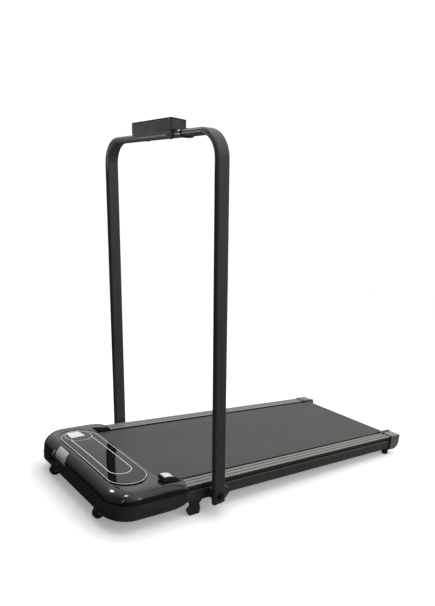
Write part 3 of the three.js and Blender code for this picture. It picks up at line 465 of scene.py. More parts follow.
step_low = base_low.z + skirt_step
base_levels = [(skirt_inset + inset, base_low.z + lift)
               for inset, lift in round_under(under_round, (1, 0.75, 0.5, 0.25, 0))]
base_levels += [(skirt_inset, step_low - skirt_inset), (0, step_low), (0, base_high.z)]
tray = to_piece("hood_tray", hood_loft(
    [(inset, inset, height) for inset, height in base_levels], base_high.y))
hollow = to_piece("tray_hollow", hood_loft(
    [(tray_wall, tray_wall, base_low.z + tray_floor), (tray_wall, tray_wall, base_high.z + overrun)],
    base_high.y + overrun))
rise_length = 67 * mm
rise_run = 41.5 * mm
rise_radius = 60 * mm
rise_start = base_high.y - rise_length
past_side = base_high.x + overrun
scoop = pressed("tray_scoop", soften([
    (rise_start, base_low.z - overrun, 0), (base_high.y + overrun, base_low.z - overrun, 0),
    (base_high.y + overrun, channel_low.z, 0), (base_high.y, channel_low.z, 0),
    (rise_start + rise_run, base_low.z + overrun, rise_radius), (rise_start, base_low.z, 0)],
    steps=10), "x", -past_side, past_side)
inlet_low, inlet_high = measure("power_inlet")
window = pressed("inlet_window", oblong(
    inlet_low.x - gap, inlet_low.z - gap, inlet_high.x + gap, inlet_high.z + gap, mm),
    "y", base_low.y - overrun, base_low.y + 2 * overrun)
slots = []
for side in hand_sides:
    fork_low, fork_high = measure(f"wheel_fork_{side}")
    slots.append(pressed(f"wheel_slot_{side}", oblong(
        fork_low.x - gap, fork_low.y - slot_room, fork_high.x + gap, fork_high.y + slot_room),
        "z", base_low.z - overrun, base_low.z + 2 * overrun))
screw_places = ((135 * mm, 63 * mm), (-148 * mm, 55 * mm))
screw_radius = 3.2 * mm
screw_dome = 1.1 * mm
bore_room = 0.8 * mm
sole = measure("front_foot_left")[0].z
bores = [pressed("screw_bore", ring((x, sole + z), screw_radius + bore_room), "y",
                 base_low.y - overrun, base_low.y + screw_dome + gap) for x, z in screw_places]
trim(tray, hollow, scoop, window, *slots, *bores)
ease(tray, 0.5 * mm, steps=2)
fit_out(tray, grained_abs, "deck", "matte_black", "hood_base")

# Base screws. Cross-recessed pan heads of blackened steel hold the tray's front to the plate behind
# it. They sit in shallow counterbores, so each shows as a dark ring with a small bright dome.
black_oxide = coat_finish("black_oxide_steel", "#3a3b3d", "#55575a", 5, 0.5, 0.01, 0.35, 0.08, Metallic=1.0)
recess_half = 0.45 * mm
recess_reach = 0.62 * screw_radius
recess_floor = 0.25 * screw_dome
dome_steps = 6
for side, (x, z) in zip(hand_sides, screw_places):
    seat_y = base_low.y + screw_dome + gap
    seat_z = sole + z
    rings = []
    for step in range(dome_steps):
        turned = quarter * step / dome_steps
        rings.append([(x + a, seat_y - screw_dome * math.sin(turned), seat_z + b)
                      for a, b in ring((0, 0), screw_radius * math.cos(turned))])
    head = to_piece(f"tray_screw_{side}", skin(rings))
    trim(head, *[pressed("recess", oblong(x - a, seat_z - b, x + a, seat_z + b), "y",
                         seat_y - 2 * screw_dome, seat_y - recess_floor)
                 for a, b in ((recess_reach, recess_half), (recess_half, recess_reach))])
    ease(head)
    fit_out(head, black_oxide, "deck", "matte_black")

# Hood cover. A thin gloss black ABS shell over the motor. It is crowned, its top edge rolls over all
# round and leans back at the front, a lip covers the front roller, and an ear runs down each side to
# the foot rail. It was moulded against a polished tool, so it mirrors the room, faintly waved.
gloss_abs = coat_finish("gloss_abs", "#171718", "#1c1c1d", 80, 14, 0.012, 0.1, 0.03,
                        Coat_Weight=0.3, Coat_Roughness=0.04)
cover_low, cover_high = measure("hood_cover")
panel_low, panel_high = measure("hood_panel")
side_roll = 26 * mm
front_roll = 32 * mm
front_lean = cover_high.z - cover_low.z
front_power = 1.6
shell_wall = 3 * mm
shell_roof = 4 * mm
lip_y = base_low.y + 154 * mm
foot_high = measure("foot_rail_left")[1]
belt_low, belt_high = measure("running_belt")
ear_inner = belt_high.x + 3 * mm
ear_end_top = foot_high.z + 2.1 * mm
far_back = cover_high.y + side_roll + overrun
crown_peak = base_low.y + 115 * mm
crown_radius = 870 * mm
side_fall = 4.5 * mm
fade_start = base_low.y + 100 * mm
fade_end = base_low.y + 200 * mm
ear_power = 1.5
ear_root = 1.9
along = Vector((0, 1, 0))
slice_along = 10 * mm
slice_across = 30 * mm
slice_ears = 4 * mm
slice_rising = 7 * mm
slice_start = base_low.y + 40 * mm
roll_steps = 16


def crown_drop(x, y):
    """How far the crowned top lies under the hood's highest level. The ears are level across."""
    past = min(max((y - fade_start) / (fade_end - fade_start), 0), 1)
    level = 1 - past * past * (3 - 2 * past)
    return level * ((y - crown_peak) ** 2 / (2 * crown_radius) + side_fall * (x / cover_high.x) ** 2)


def cover_top(x, y):
    """The height of the cover's top: crowned over the motor, then falling along the ears."""
    down_ear = min(max((y - lip_y) / (cover_high.y - lip_y), 0), 1)
    fall = (1 - down_ear ** ear_power) ** (1 / ear_root)
    return ear_end_top + fall * (cover_high.z - ear_end_top) - crown_drop(x, y)


def steps_between(low, high, step):
    """Even places between two ends, about a step apart."""
    count = int((high - low) / step)
    return [low + (high - low) * place / (count + 1) for place in range(1, count + 1)]


def slice_up(work, axis, low, high, step):
    """Cuts a mesh across in even steps along an axis, so that it can be bent."""
    for place in steps_between(low, high, step):
        bmesh.ops.bisect_plane(work, geom=work.verts[:] + work.edges[:] + work.faces[:],
                               plane_co=axis * place, plane_no=axis)


def on_crown(name, work):
    """A mesh drawn at the cover's highest level, bent down onto the crown and made into an object."""
    slice_up(work, along, panel_low.y - overrun, panel_high.y + overrun, slice_along)
    slice_up(work, across, panel_low.x - overrun, panel_high.x + overrun, slice_across)
    for vertex in work.verts:
        vertex.co.z += cover_top(vertex.co.x, vertex.co.y) - cover_high.z
    return to_piece(name, work)


def rolled_levels(inset, drop, bottom):
    """Levels from the seam up and over the rolled edge, which starts lower at the front."""
    top = cover_high.z - drop
    side = side_roll - inset
    turns = [quarter * step / roll_steps for step in range(roll_steps + 1)]
    heights = [(height, 0) for height in [bottom] + steps_between(bottom, top - side, slice_rising)]
    heights += [(top - side * (1 - math.sin(turned)), side * (1 - math.cos(turned))) for turned in turns]
    levels = []
    for height, across_inset in heights:
        up = min(max((height + drop - (cover_high.z - front_lean)) / front_lean, 0), 1)
        back = front_roll * (1 - (1 - up ** front_power) ** (1 / front_power))
        levels.append((inset + across_inset, inset + back * (front_roll - inset) / front_roll, height))
    return levels


def cover_blank(name, inset, drop, bottom):
    """The cover's whole outer form, or its inner one, before its back is cut."""
    work = hood_loft(rolled_levels(inset, drop, bottom), far_back)
    slice_up(work, along, slice_start, lip_y, slice_along)
    slice_up(work, along, lip_y - mm, cover_high.y + mm, slice_ears)
    slice_up(work, across, -cover_high.x, cover_high.x, slice_across)
    rise = cover_high.z - drop - cover_low.z
    for vertex in work.verts:
        share = (vertex.co.z - cover_low.z) / rise
        if share > 0:
            vertex.co.z = cover_low.z + share * (cover_top(vertex.co.x, vertex.co.y) - drop - cover_low.z)
    return to_piece(name, work)


def behind(name, inner, lip, end):
    """What is cut away behind the lip and between the ears."""
    return pressed(name, [
        (-inner, lip), (inner, lip), (inner, end), (past_side, end), (past_side, far_back + overrun),
        (-past_side, far_back + overrun), (-past_side, end), (-inner, end)],
        "z", cover_low.z - 2 * overrun, cover_high.z + 2 * overrun)


cover = cover_blank("hood_shell", 0, 0, cover_low.z)
cavity = cover_blank("cover_cavity", shell_wall, shell_roof, cover_low.z - overrun)
trim(cavity, behind("cavity_back", ear_inner + shell_wall, lip_y + overrun, cover_high.y - shell_wall))
way_half = channel_high.x + 2 * gap
way = pressed("rail_way", oblong(-way_half, lip_y - slot_room, way_half, far_back),
              "z", cover_low.z - 2 * overrun, foot_high.z + gap)
panel_radius = (panel_high.y - panel_low.y) / 2
panel_middle = (panel_low.y + panel_high.y) / 2


def panel_oval(grow, steps=28):
    """The panel's long oval in plan, made larger by grow."""
    far, near = panel_low.x + panel_radius, panel_high.x - panel_radius
    return (arc((near, panel_middle), panel_radius + grow, -quarter, quarter, steps)
            + arc((far, panel_middle), panel_radius + grow, quarter, 3 * quarter, steps))


panel_groove = 1.3 * mm
ledge_width = 7 * mm
ledge_depth = 1.2 * mm
pocket = on_crown("panel_pocket", press(
    panel_oval(gap), "z", panel_low.z - gap, cover_high.z + 2 * overrun))
ledge = on_crown("panel_ledge", press(
    panel_oval(ledge_width), "z", cover_high.z - ledge_depth, cover_high.z + 2 * overrun))
trim(cover, behind("cover_back", ear_inner, lip_y, cover_high.y), cavity, way, pocket, ledge)
ease(cover, 1.3 * mm, steps=2, crease=34, even=False)
fit_out(cover, gloss_abs, "deck", "gloss_black", "hood_cover")

# Hood panel. A long oval of smoked acrylic, back-painted black, glued into the cover with a groove
# round it. White pinstripes are screen printed on it, with a plain light plate at its far end.
# Acrylic is smoother than the cover, so it mirrors more sharply. The ink is opaque, with a slight sheen.
smoked_acrylic = coat_finish("smoked_acrylic", "#060607", "#09090a", 90, 40, 0.01, 0.05, 0.015, IOR=1.44)
panel = on_crown("display_panel", press(panel_oval(-panel_groove), "z", panel_low.z, panel_high.z))
ease(panel, 0.9 * mm)
fit_out(panel, smoked_acrylic, "deck", "panel_black", "hood_panel")
white_ink = coat_finish("white_ink", "#e4e4e1", "#efefed", 20, 1, 0.005, 0.45, 0.05)
ink_depth = 0.12 * mm
stripe_half = 1.1 * mm
rim_half = 0.7 * mm
rim_inset = 4 * mm


def ink_line(path, half, closed):
    """A printed line of even width along a path of (x, y) points on the panel."""
    rails = ([], [])
    count = len(path)
    for place in range(count):
        here = Vector(path[place])
        before = Vector(path[(place - 1) % count if closed else max(place - 1, 0)])
        after = Vector(path[(place + 1) % count if closed else min(place + 1, count - 1)])
        run = (after - before).normalized()
        aside = Vector((-run.y, run.x)) * half
        rails[0].append(here - aside)
        rails[1].append(here + aside)
    low, high = panel_high.z, panel_high.z + ink_depth
    sections = [[(*one, low), (*other, low), (*other, high), (*one, high)] for one, other in zip(*rails)]
    return skin(sections, closed)


inner_radius = 33 * mm
inner_end = panel_high.x - 97 * mm
inner_start = panel_low.x + 69 * mm
oval_radius = 40 * mm
oval_x = panel_low.x + 46 * mm
stripe_paths = {
    "panel_stripe_rim": (panel_oval(-rim_inset), True, rim_half),
    "panel_stripe_inner": ([(inner_start, panel_middle - inner_radius)]
                           + arc((inner_end, panel_middle), inner_radius, -quarter, quarter, steps=24)
                           + [(inner_start, panel_middle + inner_radius)], False, stripe_half),
    "panel_stripe_oval": (ring((oval_x, panel_middle), oval_radius, steps=56), True, rim_half),
}
for name, (path, closed, half) in stripe_paths.items():
    stripe = on_crown(name, ink_line(path, half, closed))
    fit_out(stripe, white_ink, "deck", "cap_grey")
plate_corner = 2 * mm
plate_corners = ((-33 * mm, -25 * mm), (11 * mm, -27 * mm), (8 * mm, 19 * mm), (-34 * mm, 14 * mm))
badge_plate = on_crown("blank_badge_plate", press(soften(
    [(oval_x + x, panel_middle + y, plate_corner) for x, y in plate_corners]),
    "z", panel_high.z, panel_high.z + 2 * ink_depth))
ease(badge_plate)
fit_out(badge_plate, white_ink, "deck", "cap_grey")

# Blank plates. Two plain stickers of silver polyester film are stuck on the front, over the seam of
# cover and base. They follow the rolled edge, and their backing shows as a paler, satin metal.
silver_film = coat_finish("silver_polyester_film", "#b4b9be", "#cacfd3", 12, 0.7, 0.02, 0.42, 0.06,
                          Metallic=0.35)
film_thickness = 0.25 * mm
film_corner = 1.5 * mm
# Their corners, across from the middle and up from the floor.
film_places = {
    "blank_rating_plate": (
        (-111 * mm, 71 * mm), (-42 * mm, 70 * mm), (-62 * mm, 99 * mm), (-122 * mm, 98.5 * mm)),
    "blank_test_strip": (
        (-136 * mm, 70 * mm), (-127 * mm, 70 * mm), (-124 * mm, 85 * mm), (-132 * mm, 85 * mm)),
}
for name, corners in film_places.items():
    film = cover_blank(name, -film_thickness, -film_thickness, cover_low.z - 2 * overrun)
    core = cover_blank("film_core", 0, 0, cover_low.z - 3 * overrun)
    shape = pressed("film_shape", soften([(x, sole + z, film_corner) for x, z in corners]),
                    "y", base_low.y - overrun, base_low.y + front_roll)
    trim(film, shape, action="INTERSECT")
    trim(film, core)
    ease(film)
    fit_out(film, silver_film, "deck", "cap_grey")

# Walking belt. Two-ply polyester with a grey PVC top, joined into a loop. The top is embossed with a
# fine diamond pattern, and it is stretched flat between the rollers and runs over a smooth board.
turn_steps = 48
diamond = 5 * mm
bands_in_a_unit = 3


def belt_finish():
    """A 3 mm diamond emboss, drawn at 5 mm so that it shows, and faint lengthwise wear."""
    material, tree = open_finish("embossed_pvc")
    place = add_node(tree, "TexCoord", {}).outputs["Object"]
    turned = add_node(tree, "Mapping", {"Vector": place, "Rotation": (0, 0, math.radians(45))})
    weft, warp = [add_node(tree, "TexWave", {
        "Vector": turned.outputs["Vector"], "Scale": 1 / diamond / bands_in_a_unit, "Distortion": 0.3},
        bands_direction=run).outputs["Fac"] for run in ("X", "Y")]
    weave = add_node(tree, "Math", {0: weft, 1: warp}, operation="MULTIPLY")
    streaks = add_node(tree, "Mapping", {"Vector": place, "Scale": (14.0, 1.2, 1.0)})
    wear = add_node(tree, "TexNoise", {"Vector": streaks.outputs["Vector"], "Scale": 1.0, "Detail": 5.0})
    tone = grade(tree, wear.outputs["Fac"], (0.3, "#3a3a39"), (0.72, "#414140"))
    shade = add_node(tree, "Mix", {
        "Factor": weave.outputs[0], 6: tone, 7: linear("#484847")}, data_type="RGBA")
    bump = add_node(tree, "Bump", {"Height": weave.outputs[0], "Strength": 0.5, "Distance": 0.12 * mm})
    close_finish(tree, add_node(tree, "BsdfPrincipled", {
        "Base Color": shade.outputs[2], "Roughness": 0.62, "Normal": bump.outputs["Normal"]}))
    return material


embossed_pvc = belt_finish()
belt_ply = 1.8 * mm
belt_radius = (belt_high.z - belt_low.z) / 2
belt_middle = (belt_high.z + belt_low.z) / 2


def belt_ring(depth):
    """The belt's line from the side, depth under its outer face."""
    radius = belt_radius - depth
    front, rear = belt_low.y + belt_radius, belt_high.y - belt_radius
    return (arc((front, belt_middle), radius, quarter, 3 * quarter, turn_steps)
            + arc((rear, belt_middle), radius, -quarter, quarter, turn_steps))


hem = 0.5 * mm
belt_section = oblong(belt_low.x, 0, belt_high.x, belt_ply, hem, steps=1)
belt_lines = [[(x, y, z) for y, z in belt_ring(depth)] for x, depth in belt_section]
belt = to_piece("walking_belt", skin(belt_lines, True))
ease(belt)
fit_out(belt, embossed_pvc, "deck", "belt_grey", "running_belt")

# Foot rails. ABS extrusions that clip over the channels and the board's edge. A grey tread is extruded
# onto a black carrier. Its three ribs are painted paler on their crowns as a highlight and darker in the
# valleys as painted shade. The flat beside the belt is painted near black, as shade from the belt's gap.
# Extruding draws the finish out along the rails.
extruded = (1, 0.03, 1)
# Lit and shaded copies of one grey: a painted highlight on the crowns, painted shade in the valleys.
crown_lit_tread = coat_finish("extruded_abs_crown_painted_highlight", "#7d7c76", "#8d8c86", 30, 2, 0.04, 0.38, 0.06, extruded)
valley_shaded_tread = coat_finish("extruded_abs_valley_painted_shade", "#45443f", "#53524d", 30, 2, 0.05, 0.55, 0.06, extruded)
carrier_abs = coat_finish("extruded_abs_carrier", "#2b2b2a", "#343433", 40, 2, 0.04, 0.45, 0.06, extruded)
# Painted shade: a near-black matt band on the flat beside the belt, for the shadow in the gap at its edge.
belt_gap_shade = coat_finish("painted_belt_gap_shade", "#0e0e0f", "#141415", 30, 2, 0.04, 0.85, 0.06,
                       Specular_IOR_Level=0.1)
rib_count = 3
rib_rise = 1.8 * mm
rib_edge = 1 * mm
rib_valley = 6.4 * mm
tread_skin = 2 * mm
rail_skin = 3 * mm
skirt = 11.8 * mm
edge_drop = 2 * mm
edge_in = 0.6 * mm
belt_side_band = 9 * mm
clip_start = 7 * mm
clip_width = 21 * mm
rib_shape = ((0, 0), (0.14, 0.75), (0.27, 1), (0.73, 1), (0.86, 0.75), (1, 0))
for side, sign in hand_sides.items():
    low, high, inner, outer = measure_side(f"foot_rail_{side}", sign)
    pitch = (abs(outer - inner) - rib_edge - belt_side_band + rib_valley) / rib_count
    rib_width = pitch - rib_valley
    crown = high.z
    valley = crown - rib_rise
    ribs = [(outer - sign * (rib_edge + rib * pitch + share * rib_width), valley + lift * rib_rise)
            for rib in range(rib_count) for share, lift in rib_shape]
    under = valley - tread_skin
    foot = low.z
    clip = outer - sign * clip_start
    clip_wall = clip - sign * rail_skin
    clip_toe = clip - sign * clip_width
    profile = [
        (outer, crown - skirt), (outer, valley - edge_drop), (outer - sign * edge_in, valley - edge_in)]
    profile += ribs + [
        (inner, valley - edge_in), (inner, under), (clip_wall, under), (clip_wall, foot + rail_skin),
        (clip_toe, foot + rail_skin), (clip_toe, foot), (clip, foot), (clip, under),
        (outer - sign * rail_skin, under), (outer - sign * rail_skin, crown - skirt)]
    rail = pressed(f"ribbed_rail_{side}", profile, "y", low.y, high.y)
    ease(rail, 0.25 * mm, steps=2, crease=40)
    fit_out(rail, crown_lit_tread, "deck", "foot_rail_grey", f"foot_rail_{side}")
    for coat in (valley_shaded_tread, carrier_abs, belt_gap_shade):
        rail.data.materials.append(coat)
    back = deck.inverted()
    for face in rail.data.polygons:
        middle = back @ face.center
        # Faces by the belt take the painted shade band, low faces the carrier, and valleys the painted
        # shade.
        if abs(middle.x - inner) < belt_side_band:
            face.material_index = 3
        elif middle.z < valley - edge_in / 2:
            face.material_index = 2
        elif middle.z < valley + rib_rise / 4:
            face.material_index = 1

# End caps. Grey ABS mouldings with a soft, wide shine, slipped over the tail of each channel. They are
# rounded underneath so that the deck can be stood on end, and have a hole to the tension bolt. A rubber
# gasket fits round the rail in front of each, and a smooth black guard stands beside the belt.
satin_abs = coat_finish("satin_abs", "#6a6963", "#74726c", 30, 1.5, 0.03, 0.26, 0.05,
                        Specular_IOR_Level=0.8)
key_abs = coat_finish("key_abs", "#262627", "#2e2e2f", 20, 1.2, 0.03, 0.3, 0.05)
cap_curve = 30 * mm
cap_round = 4 * mm
cap_wall = 3 * mm
cap_edge = 1.6 * mm
gasket_width = 8 * mm
bolt_hole = 6.8 * mm
shaft_hole = 5.3 * mm
guard_toe = 28 * mm
guard_step = 31 * mm
guard_edge = 9.5 * mm
guard_round = 2 * mm
toe_round = 3 * mm
step_round = 4 * mm
for side, sign in hand_sides.items():
    low, high, inner, _ = measure_side(f"end_cap_{side}", sign)
    cap = pressed(f"tail_cap_{side}", soften([
        (low.y, low.z, 0), (high.y, low.z, cap_curve), (high.y, high.z, cap_round), (low.y, high.z, 0)],
        steps=14), "x", low.x, high.x)
    inside = pressed("cap_inside", soften([
        (low.y - overrun, low.z + cap_wall, 0), (high.y - cap_wall, low.z + cap_wall, cap_curve - cap_wall),
        (high.y - cap_wall, high.z - cap_wall, cap_round / 2), (low.y - overrun, high.z - cap_wall, 0)],
        steps=10), "x", low.x + cap_wall, high.x - cap_wall)
    bolt_low, bolt_high = measure(f"tension_bolt_{side}")
    bolt = (bolt_low + bolt_high) / 2
    bolt_way = pressed("bolt_way", ring((bolt.x, bolt.z), bolt_hole),
                       "y", high.y - 2 * cap_wall, high.y + overrun)
    shaft_low, shaft_high = measure("tail_shaft")
    shaft = (shaft_low + shaft_high) / 2
    shaft_way = pressed("shaft_way", ring((shaft.y, shaft.z), shaft_hole),
                        "x", inner - 2 * cap_wall, inner + 2 * cap_wall)
    trim(cap, inside, bolt_way, shaft_way)
    ease(cap, cap_edge, steps=4, crease=34)
    fit_out(cap, satin_abs, "deck", "cap_grey", f"end_cap_{side}")
    seat = pressed(f"cap_gasket_{side}", oblong(low.x, low.z, high.x, high.z, cap_edge),
                   "y", low.y - gasket_width, low.y - gap)
    _, rail_high, _, rail_outer = measure_side(f"foot_rail_{side}", sign)
    seat_hole = pressed("gasket_hole", oblong(
        inner - sign * overrun, low.z + cap_wall, rail_outer + sign * gap / 2, rail_high.z + gap / 2),
        "y", low.y - gasket_width - overrun, low.y + overrun)
    trim(seat, seat_hole)
    ease(seat, 0.5 * mm, steps=2)
    fit_out(seat, cushion_rubber, "deck", "black_rubber")
    refine(f"tension_bolt_{side}", f"tail_tension_bolt_{side}", zinc_plate, "bare_steel", 0.4 * mm)
    low, high, inner, outer = measure_side(f"roller_guard_{side}", sign)
    rim = inner + sign * guard_edge
    guard = pressed(f"belt_guard_{side}", soften([
        (inner, low.y, guard_round), (outer, low.y + guard_toe, toe_round),
        (rim, low.y + guard_step, step_round), (rim, high.y, guard_round), (inner, high.y, guard_round)]),
        "z", low.z, high.z)
    ease(guard, 0.9 * mm)
    fit_out(guard, key_abs, "deck", "matte_black", f"roller_guard_{side}")

# Power inlet. A moulded module clipped into the tray's window, with a three-pin mains socket on one
# side and a red rocker in a frame on the other. The rocker tips on its own pins.
# Polycarbonate is coloured right through, with a sharp gloss.
red_polycarbonate = coat_finish("red_polycarbonate", "#64140f", "#751a15", 10, 1, 0.01, 0.2, 0.04)
inlet_round = 2 * mm
socket_x = inlet_low.x + 22 * mm
socket_half = (12 * mm, 8.3 * mm)
socket_cut = 4.5 * mm
socket_depth = 15 * mm
rocker_half = (13 * mm, 6 * mm)
pin_half = (1 * mm, 2 * mm)
pin_spread = 7 * mm
pin_lift = 2 * mm
pin_step = 4 * mm
rocker_x = (deck.inverted() @ Vector(joints["power_rocker_tip"]["pos_m"])).x
inlet_middle = (inlet_low.z + inlet_high.z) / 2
socket_right, socket_left = socket_x - socket_half[0], socket_x + socket_half[0]
socket_foot, socket_top = inlet_middle - socket_half[1], inlet_middle + socket_half[1]
inlet = pressed("mains_inlet", oblong(inlet_low.x, inlet_low.z, inlet_high.x, inlet_high.z, inlet_round),
                "y", inlet_low.y, inlet_high.y)
socket = pressed("socket_recess", soften([
    (socket_right, socket_foot, mm), (socket_left, socket_foot, mm),
    (socket_left, socket_top - socket_cut, mm), (socket_left - socket_cut, socket_top, mm),
    (socket_right + socket_cut, socket_top, mm), (socket_right, socket_top - socket_cut, mm)]),
    "y", inlet_low.y - overrun, inlet_low.y + socket_depth)
rocker_seat = pressed("rocker_seat", oblong(
    rocker_x - rocker_half[0], inlet_middle - rocker_half[1],
    rocker_x + rocker_half[0], inlet_middle + rocker_half[1]),
    "y", inlet_low.y - overrun, inlet_high.y + overrun)
trim(inlet, socket, rocker_seat)
ease(inlet, 0.5 * mm, steps=2)
fit_out(inlet, carrier_abs, "deck", "matte_black", "power_inlet")
pin_places = {"live": (-pin_spread, -pin_lift), "neutral": (pin_spread, -pin_lift), "earth": (0, pin_lift)}
for name, (aside, lift) in pin_places.items():
    x, z = socket_x + aside, inlet_middle + lift
    pin = pressed(f"inlet_pin_{name}", oblong(
        x - pin_half[0], z - pin_half[1], x + pin_half[0], z + pin_half[1], pin_half[0] / 2, steps=3),
        "y", inlet_low.y + pin_step, inlet_low.y + socket_depth)
    ease(pin, 0.3 * mm, steps=2)
    fit_out(pin, zinc_plate, "deck", "bare_steel")
refine("power_switch", "rocker_switch", red_polycarbonate, "switch_red", 0.7 * mm)

# Transport wheels. Each is a hard rubber tyre on a nylon hub, and turns on a zinc-plated axle in a
# folded steel fork that stands through the tray's floor.
# The floor has worn the tyres smooth, so their black has a low shine.
hard_rubber = coat_finish("hard_rubber", "#232324", "#2c2c2d", 9, 0.6, 0.03, 0.42, 0.07)
tread_round = 2.6 * mm
web_depth = 2.2 * mm
hub_radius = 8 * mm
web_radius = 12.5 * mm
hub_bore = 3.25 * mm


def lathe(profile, centre, steps=56):
    """A closed (radius, x) profile turned about an axis along x."""
    return skin([[(centre.x + x, centre.y + radius * math.cos(angle), centre.z + radius * math.sin(angle))
                  for radius, x in profile]
                 for angle in [full_turn * step / steps for step in range(steps)]], True)


for side in hand_sides:
    low, high = measure(f"transport_wheel_{side}")
    half = (high.x - low.x) / 2
    rim = (high.z - low.z) / 2
    half_profile = [(hub_bore, half), (hub_radius, half), (hub_radius + mm, half - web_depth),
                    (web_radius, half - web_depth), (web_radius + mm, half)]
    half_profile += [(radius, x) for x, radius in arc(
        (half - tread_round, rim - tread_round), tread_round, 0, quarter, steps=6)]
    profile = half_profile + [(radius, -x) for radius, x in half_profile[::-1]]
    wheel = to_piece(f"hard_wheel_{side}", lathe(profile, (low + high) / 2))
    ease(wheel, crease=50)
    fit_out(wheel, hard_rubber, f"wheel_{side}", "black_rubber", f"transport_wheel_{side}")
    refine(f"wheel_fork_{side}", f"folded_fork_{side}", powder_coat, "frame_black", 0.5 * mm)
    refine(f"wheel_axle_{side}", f"riveted_axle_{side}", zinc_plate, "bare_steel", 0.5 * mm)

# Feet. Moulded rubber. The front ones are hooked, so that the folded machine can hang on them, and
# the rear ones are round pads screwed up into the channels.
# Their rubber keeps the grain of its mould, so it is dull.
foot_rubber = coat_finish("foot_rubber", "#252526", "#2e2e2f", 14, 0.8, 0.05, 0.6, 0.08)
for side in hand_sides:
    refine(f"front_foot_{side}", f"hooked_foot_{side}", foot_rubber, "foot_black", 1.6 * mm)
    refine(f"rear_foot_{side}", f"round_foot_{side}", foot_rubber, "foot_black", 0.8 * mm)

# Pivots. A folded steel bracket is welded to each channel. The handrail turns on a shouldered bolt
# of blackened steel, with a washer under its head and a nut inside the bracket.
for side in hand_sides:
    refine(f"pivot_bracket_{side}", f"folded_bracket_{side}", powder_coat, "frame_black", 1.4 * mm)
    refine(f"pivot_bolt_{side}", f"shouldered_bolt_{side}", black_oxide, "bare_steel", 0.8 * mm)

# Handrail hoop. One length of flat-oval steel tube, bent twice in its flat plane and powder coated.
# Each end is drilled for the pivot bolt and closed by a black plug pushed in from below.
lean = math.radians(joints["handrail_fold"]["range_deg"][1]) - quarter
rail_frame = deck @ Matrix.Rotation(lean, 4, "X")
tube_low, tube_high = measure("handrail_tube", rail_frame)
tube_depth = tube_high.y - tube_low.y
tube_thickness = 17 * mm
tube_wall = 1.6 * mm
bend_radius = 69 * mm
bend_steps = 20
pivot_bore = 5.25 * mm
screw_bore = 2.8 * mm


def tube_section(shrink, steps=14):
    """The flat oval about its own middle, as (towards the hoop's outside, towards the walker)."""
    radius = tube_thickness / 2 - shrink
    flat = tube_depth / 2 - tube_thickness / 2
    return arc((0, flat), radius, 0, math.pi, steps) + arc((0, -flat), radius, math.pi, full_turn, steps)


hoop_half = tube_high.x - tube_thickness / 2
bar_level = tube_high.z - tube_thickness / 2


def hoop_rings(shrink):
    """The section at each station round the hoop."""
    stations = [(hoop_half, tube_low.z, 0)]
    for centre, start in ((hoop_half - bend_radius, 0), (bend_radius - hoop_half, quarter)):
        for step in range(bend_steps + 1):
            turned = start + quarter * step / bend_steps
            stations.append((centre + bend_radius * math.cos(turned),
                             bar_level - bend_radius + bend_radius * math.sin(turned), turned))
    stations.append((-hoop_half, tube_low.z, math.pi))
    return [[(x + out * math.cos(turned), depth, z + out * math.sin(turned))
             for out, depth in tube_section(shrink)] for x, z, turned in stations]


tube = to_piece("hoop_tube", skin(hoop_rings(0) + hoop_rings(tube_wall)[::-1], True), rail_frame)
drills = [pressed("pivot_drill", ring((0, 0), pivot_bore, steps=28),
                  "x", -tube_high.x - overrun, tube_high.x + overrun, rail_frame)]
for side in hand_sides:
    low, high = measure(f"console_screw_{side}", rail_frame)
    drills.append(pressed(
        f"screw_drill_{side}", ring(((low.x + high.x) / 2, (low.y + high.y) / 2), screw_bore, steps=20),
        "z", bar_level - tube_thickness, bar_level + tube_thickness, rail_frame))
trim(tube, *drills)
ease(tube)
fit_out(tube, powder_coat, "handrail", "frame_black", "handrail_tube")
plug_round = 2 * mm
plug_head = tube_low.z - gap
for side in hand_sides:
    low, high = measure(f"end_plug_{side}", rail_frame)
    middle = (low + high) / 2
    levels = [(inset, low.z + lift) for inset, lift in round_under(plug_round, (1, 0.66, 0.33, 0))]
    levels += [(0, plug_head), (tube_wall + gap, plug_head), (tube_wall + gap, high.z)]
    rings = [[(middle.x + out, middle.y + depth, level) for out, depth in tube_section(shrink)]
             for shrink, level in levels]
    plug = to_piece(f"tube_plug_{side}", skin(rings), rail_frame)
    ease(plug)
    fit_out(plug, grained_abs, "handrail", "matte_black", f"end_plug_{side}")

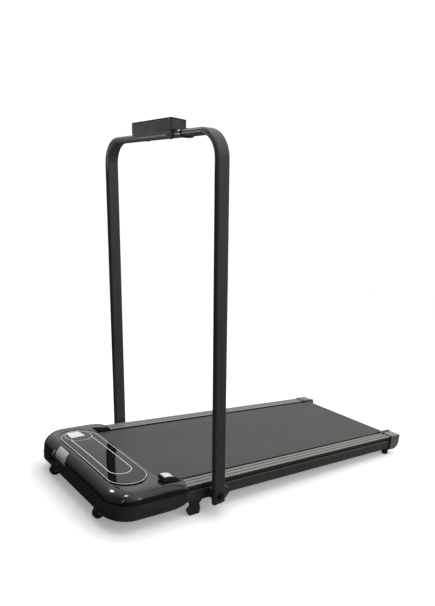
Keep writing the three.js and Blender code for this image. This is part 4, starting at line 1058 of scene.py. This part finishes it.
# Console. A satin ABS box screwed to the crossbar through its floor. A gloss acrylic face leans back
# to the walker and carries three buttons, and a clamp ring of the same ABS sits beside it on the bar.
# Satin ABS shines softly, and the buttons' silicone rubber is dull and a little paler.
satin_black_abs = coat_finish("satin_black_abs", "#3a3c3e", "#424446", 40, 1.5, 0.03, 0.22, 0.05)
button_silicone = coat_finish("button_silicone", "#55575a", "#606266", 5, 0.5, 0.02, 0.5, 0.06)
refine("console_body", "console_box", satin_black_abs, "matte_black", 0.9 * mm)
refine("console_face", "console_window", smoked_acrylic, "panel_black", 0.9 * mm)
refine("clamp_collar", "bar_clamp", satin_black_abs, "matte_black", 0.9 * mm)
for node in ("start_stop_button", "speed_up_button", "speed_down_button"):
    refine(node, f"silicone_{node}", button_silicone, "button_grey", 0.5 * mm)
for side in hand_sides:
    refine(f"console_screw_{side}", f"console_pan_screw_{side}", black_oxide, "bare_steel", 0.6 * mm)

# Safety key. A black ABS block with a magnet in it, arched so that fingers lift it off the left ear.
# Pulled off, it stops the belt. A plain white vinyl sticker covers the front half of its arch.
# Vinyl is plain white with a slight sheen. The key is of the guards' ABS.
white_vinyl = coat_finish("white_vinyl", "#dedfdc", "#eaebe8", 10, 1, 0.01, 0.4, 0.05)
key_low, key_high = measure("safety_key")
key_height = 14 * mm
key_peak = 0.28
nose_fall = 0.1
tail_fall = 0.94
key_steps = 24
key_edge = 1.4 * mm
sticker_thickness = 0.2 * mm
sticker_margin = 2.5 * mm
sticker_shares = (0.06, 0.56)


def key_rise(share):
    """The arch's height at a share of the key's length from its front."""
    if share > key_peak:
        return key_height * (1 - tail_fall * ((share - key_peak) / (1 - key_peak)) ** 2)
    return key_height * (1 - nose_fall * (1 - share / key_peak) ** 2)


def along_key(share, lift):
    """A point over the ear at a share of the key's length, as (y, z)."""
    y = key_low.y + share * (key_high.y - key_low.y)
    return y, cover_top(0, y) + gap + lift


key_stations = [step / key_steps for step in range(key_steps + 1)]
key_outline = [along_key(share, 0) for share in key_stations]
key_outline += [along_key(share, key_rise(share)) for share in key_stations[::-1]]
key = pressed("arched_key", key_outline, "x", key_low.x, key_high.x)
ease(key, key_edge, crease=30)
fit_out(key, key_abs, "safety_key", "key_grey", "safety_key")
first, last = sticker_shares
sticker_stations = [first + (last - first) * step / key_steps for step in range(key_steps + 1)]
sticker_outline = [along_key(share, key_rise(share)) for share in sticker_stations]
sticker_outline += [along_key(share, key_rise(share) + sticker_thickness)
                    for share in sticker_stations[::-1]]
sticker = pressed("blank_key_sticker", sticker_outline,
                  "x", key_low.x + sticker_margin, key_high.x - sticker_margin)
ease(sticker)
fit_out(sticker, white_vinyl, "safety_key", "cap_grey")
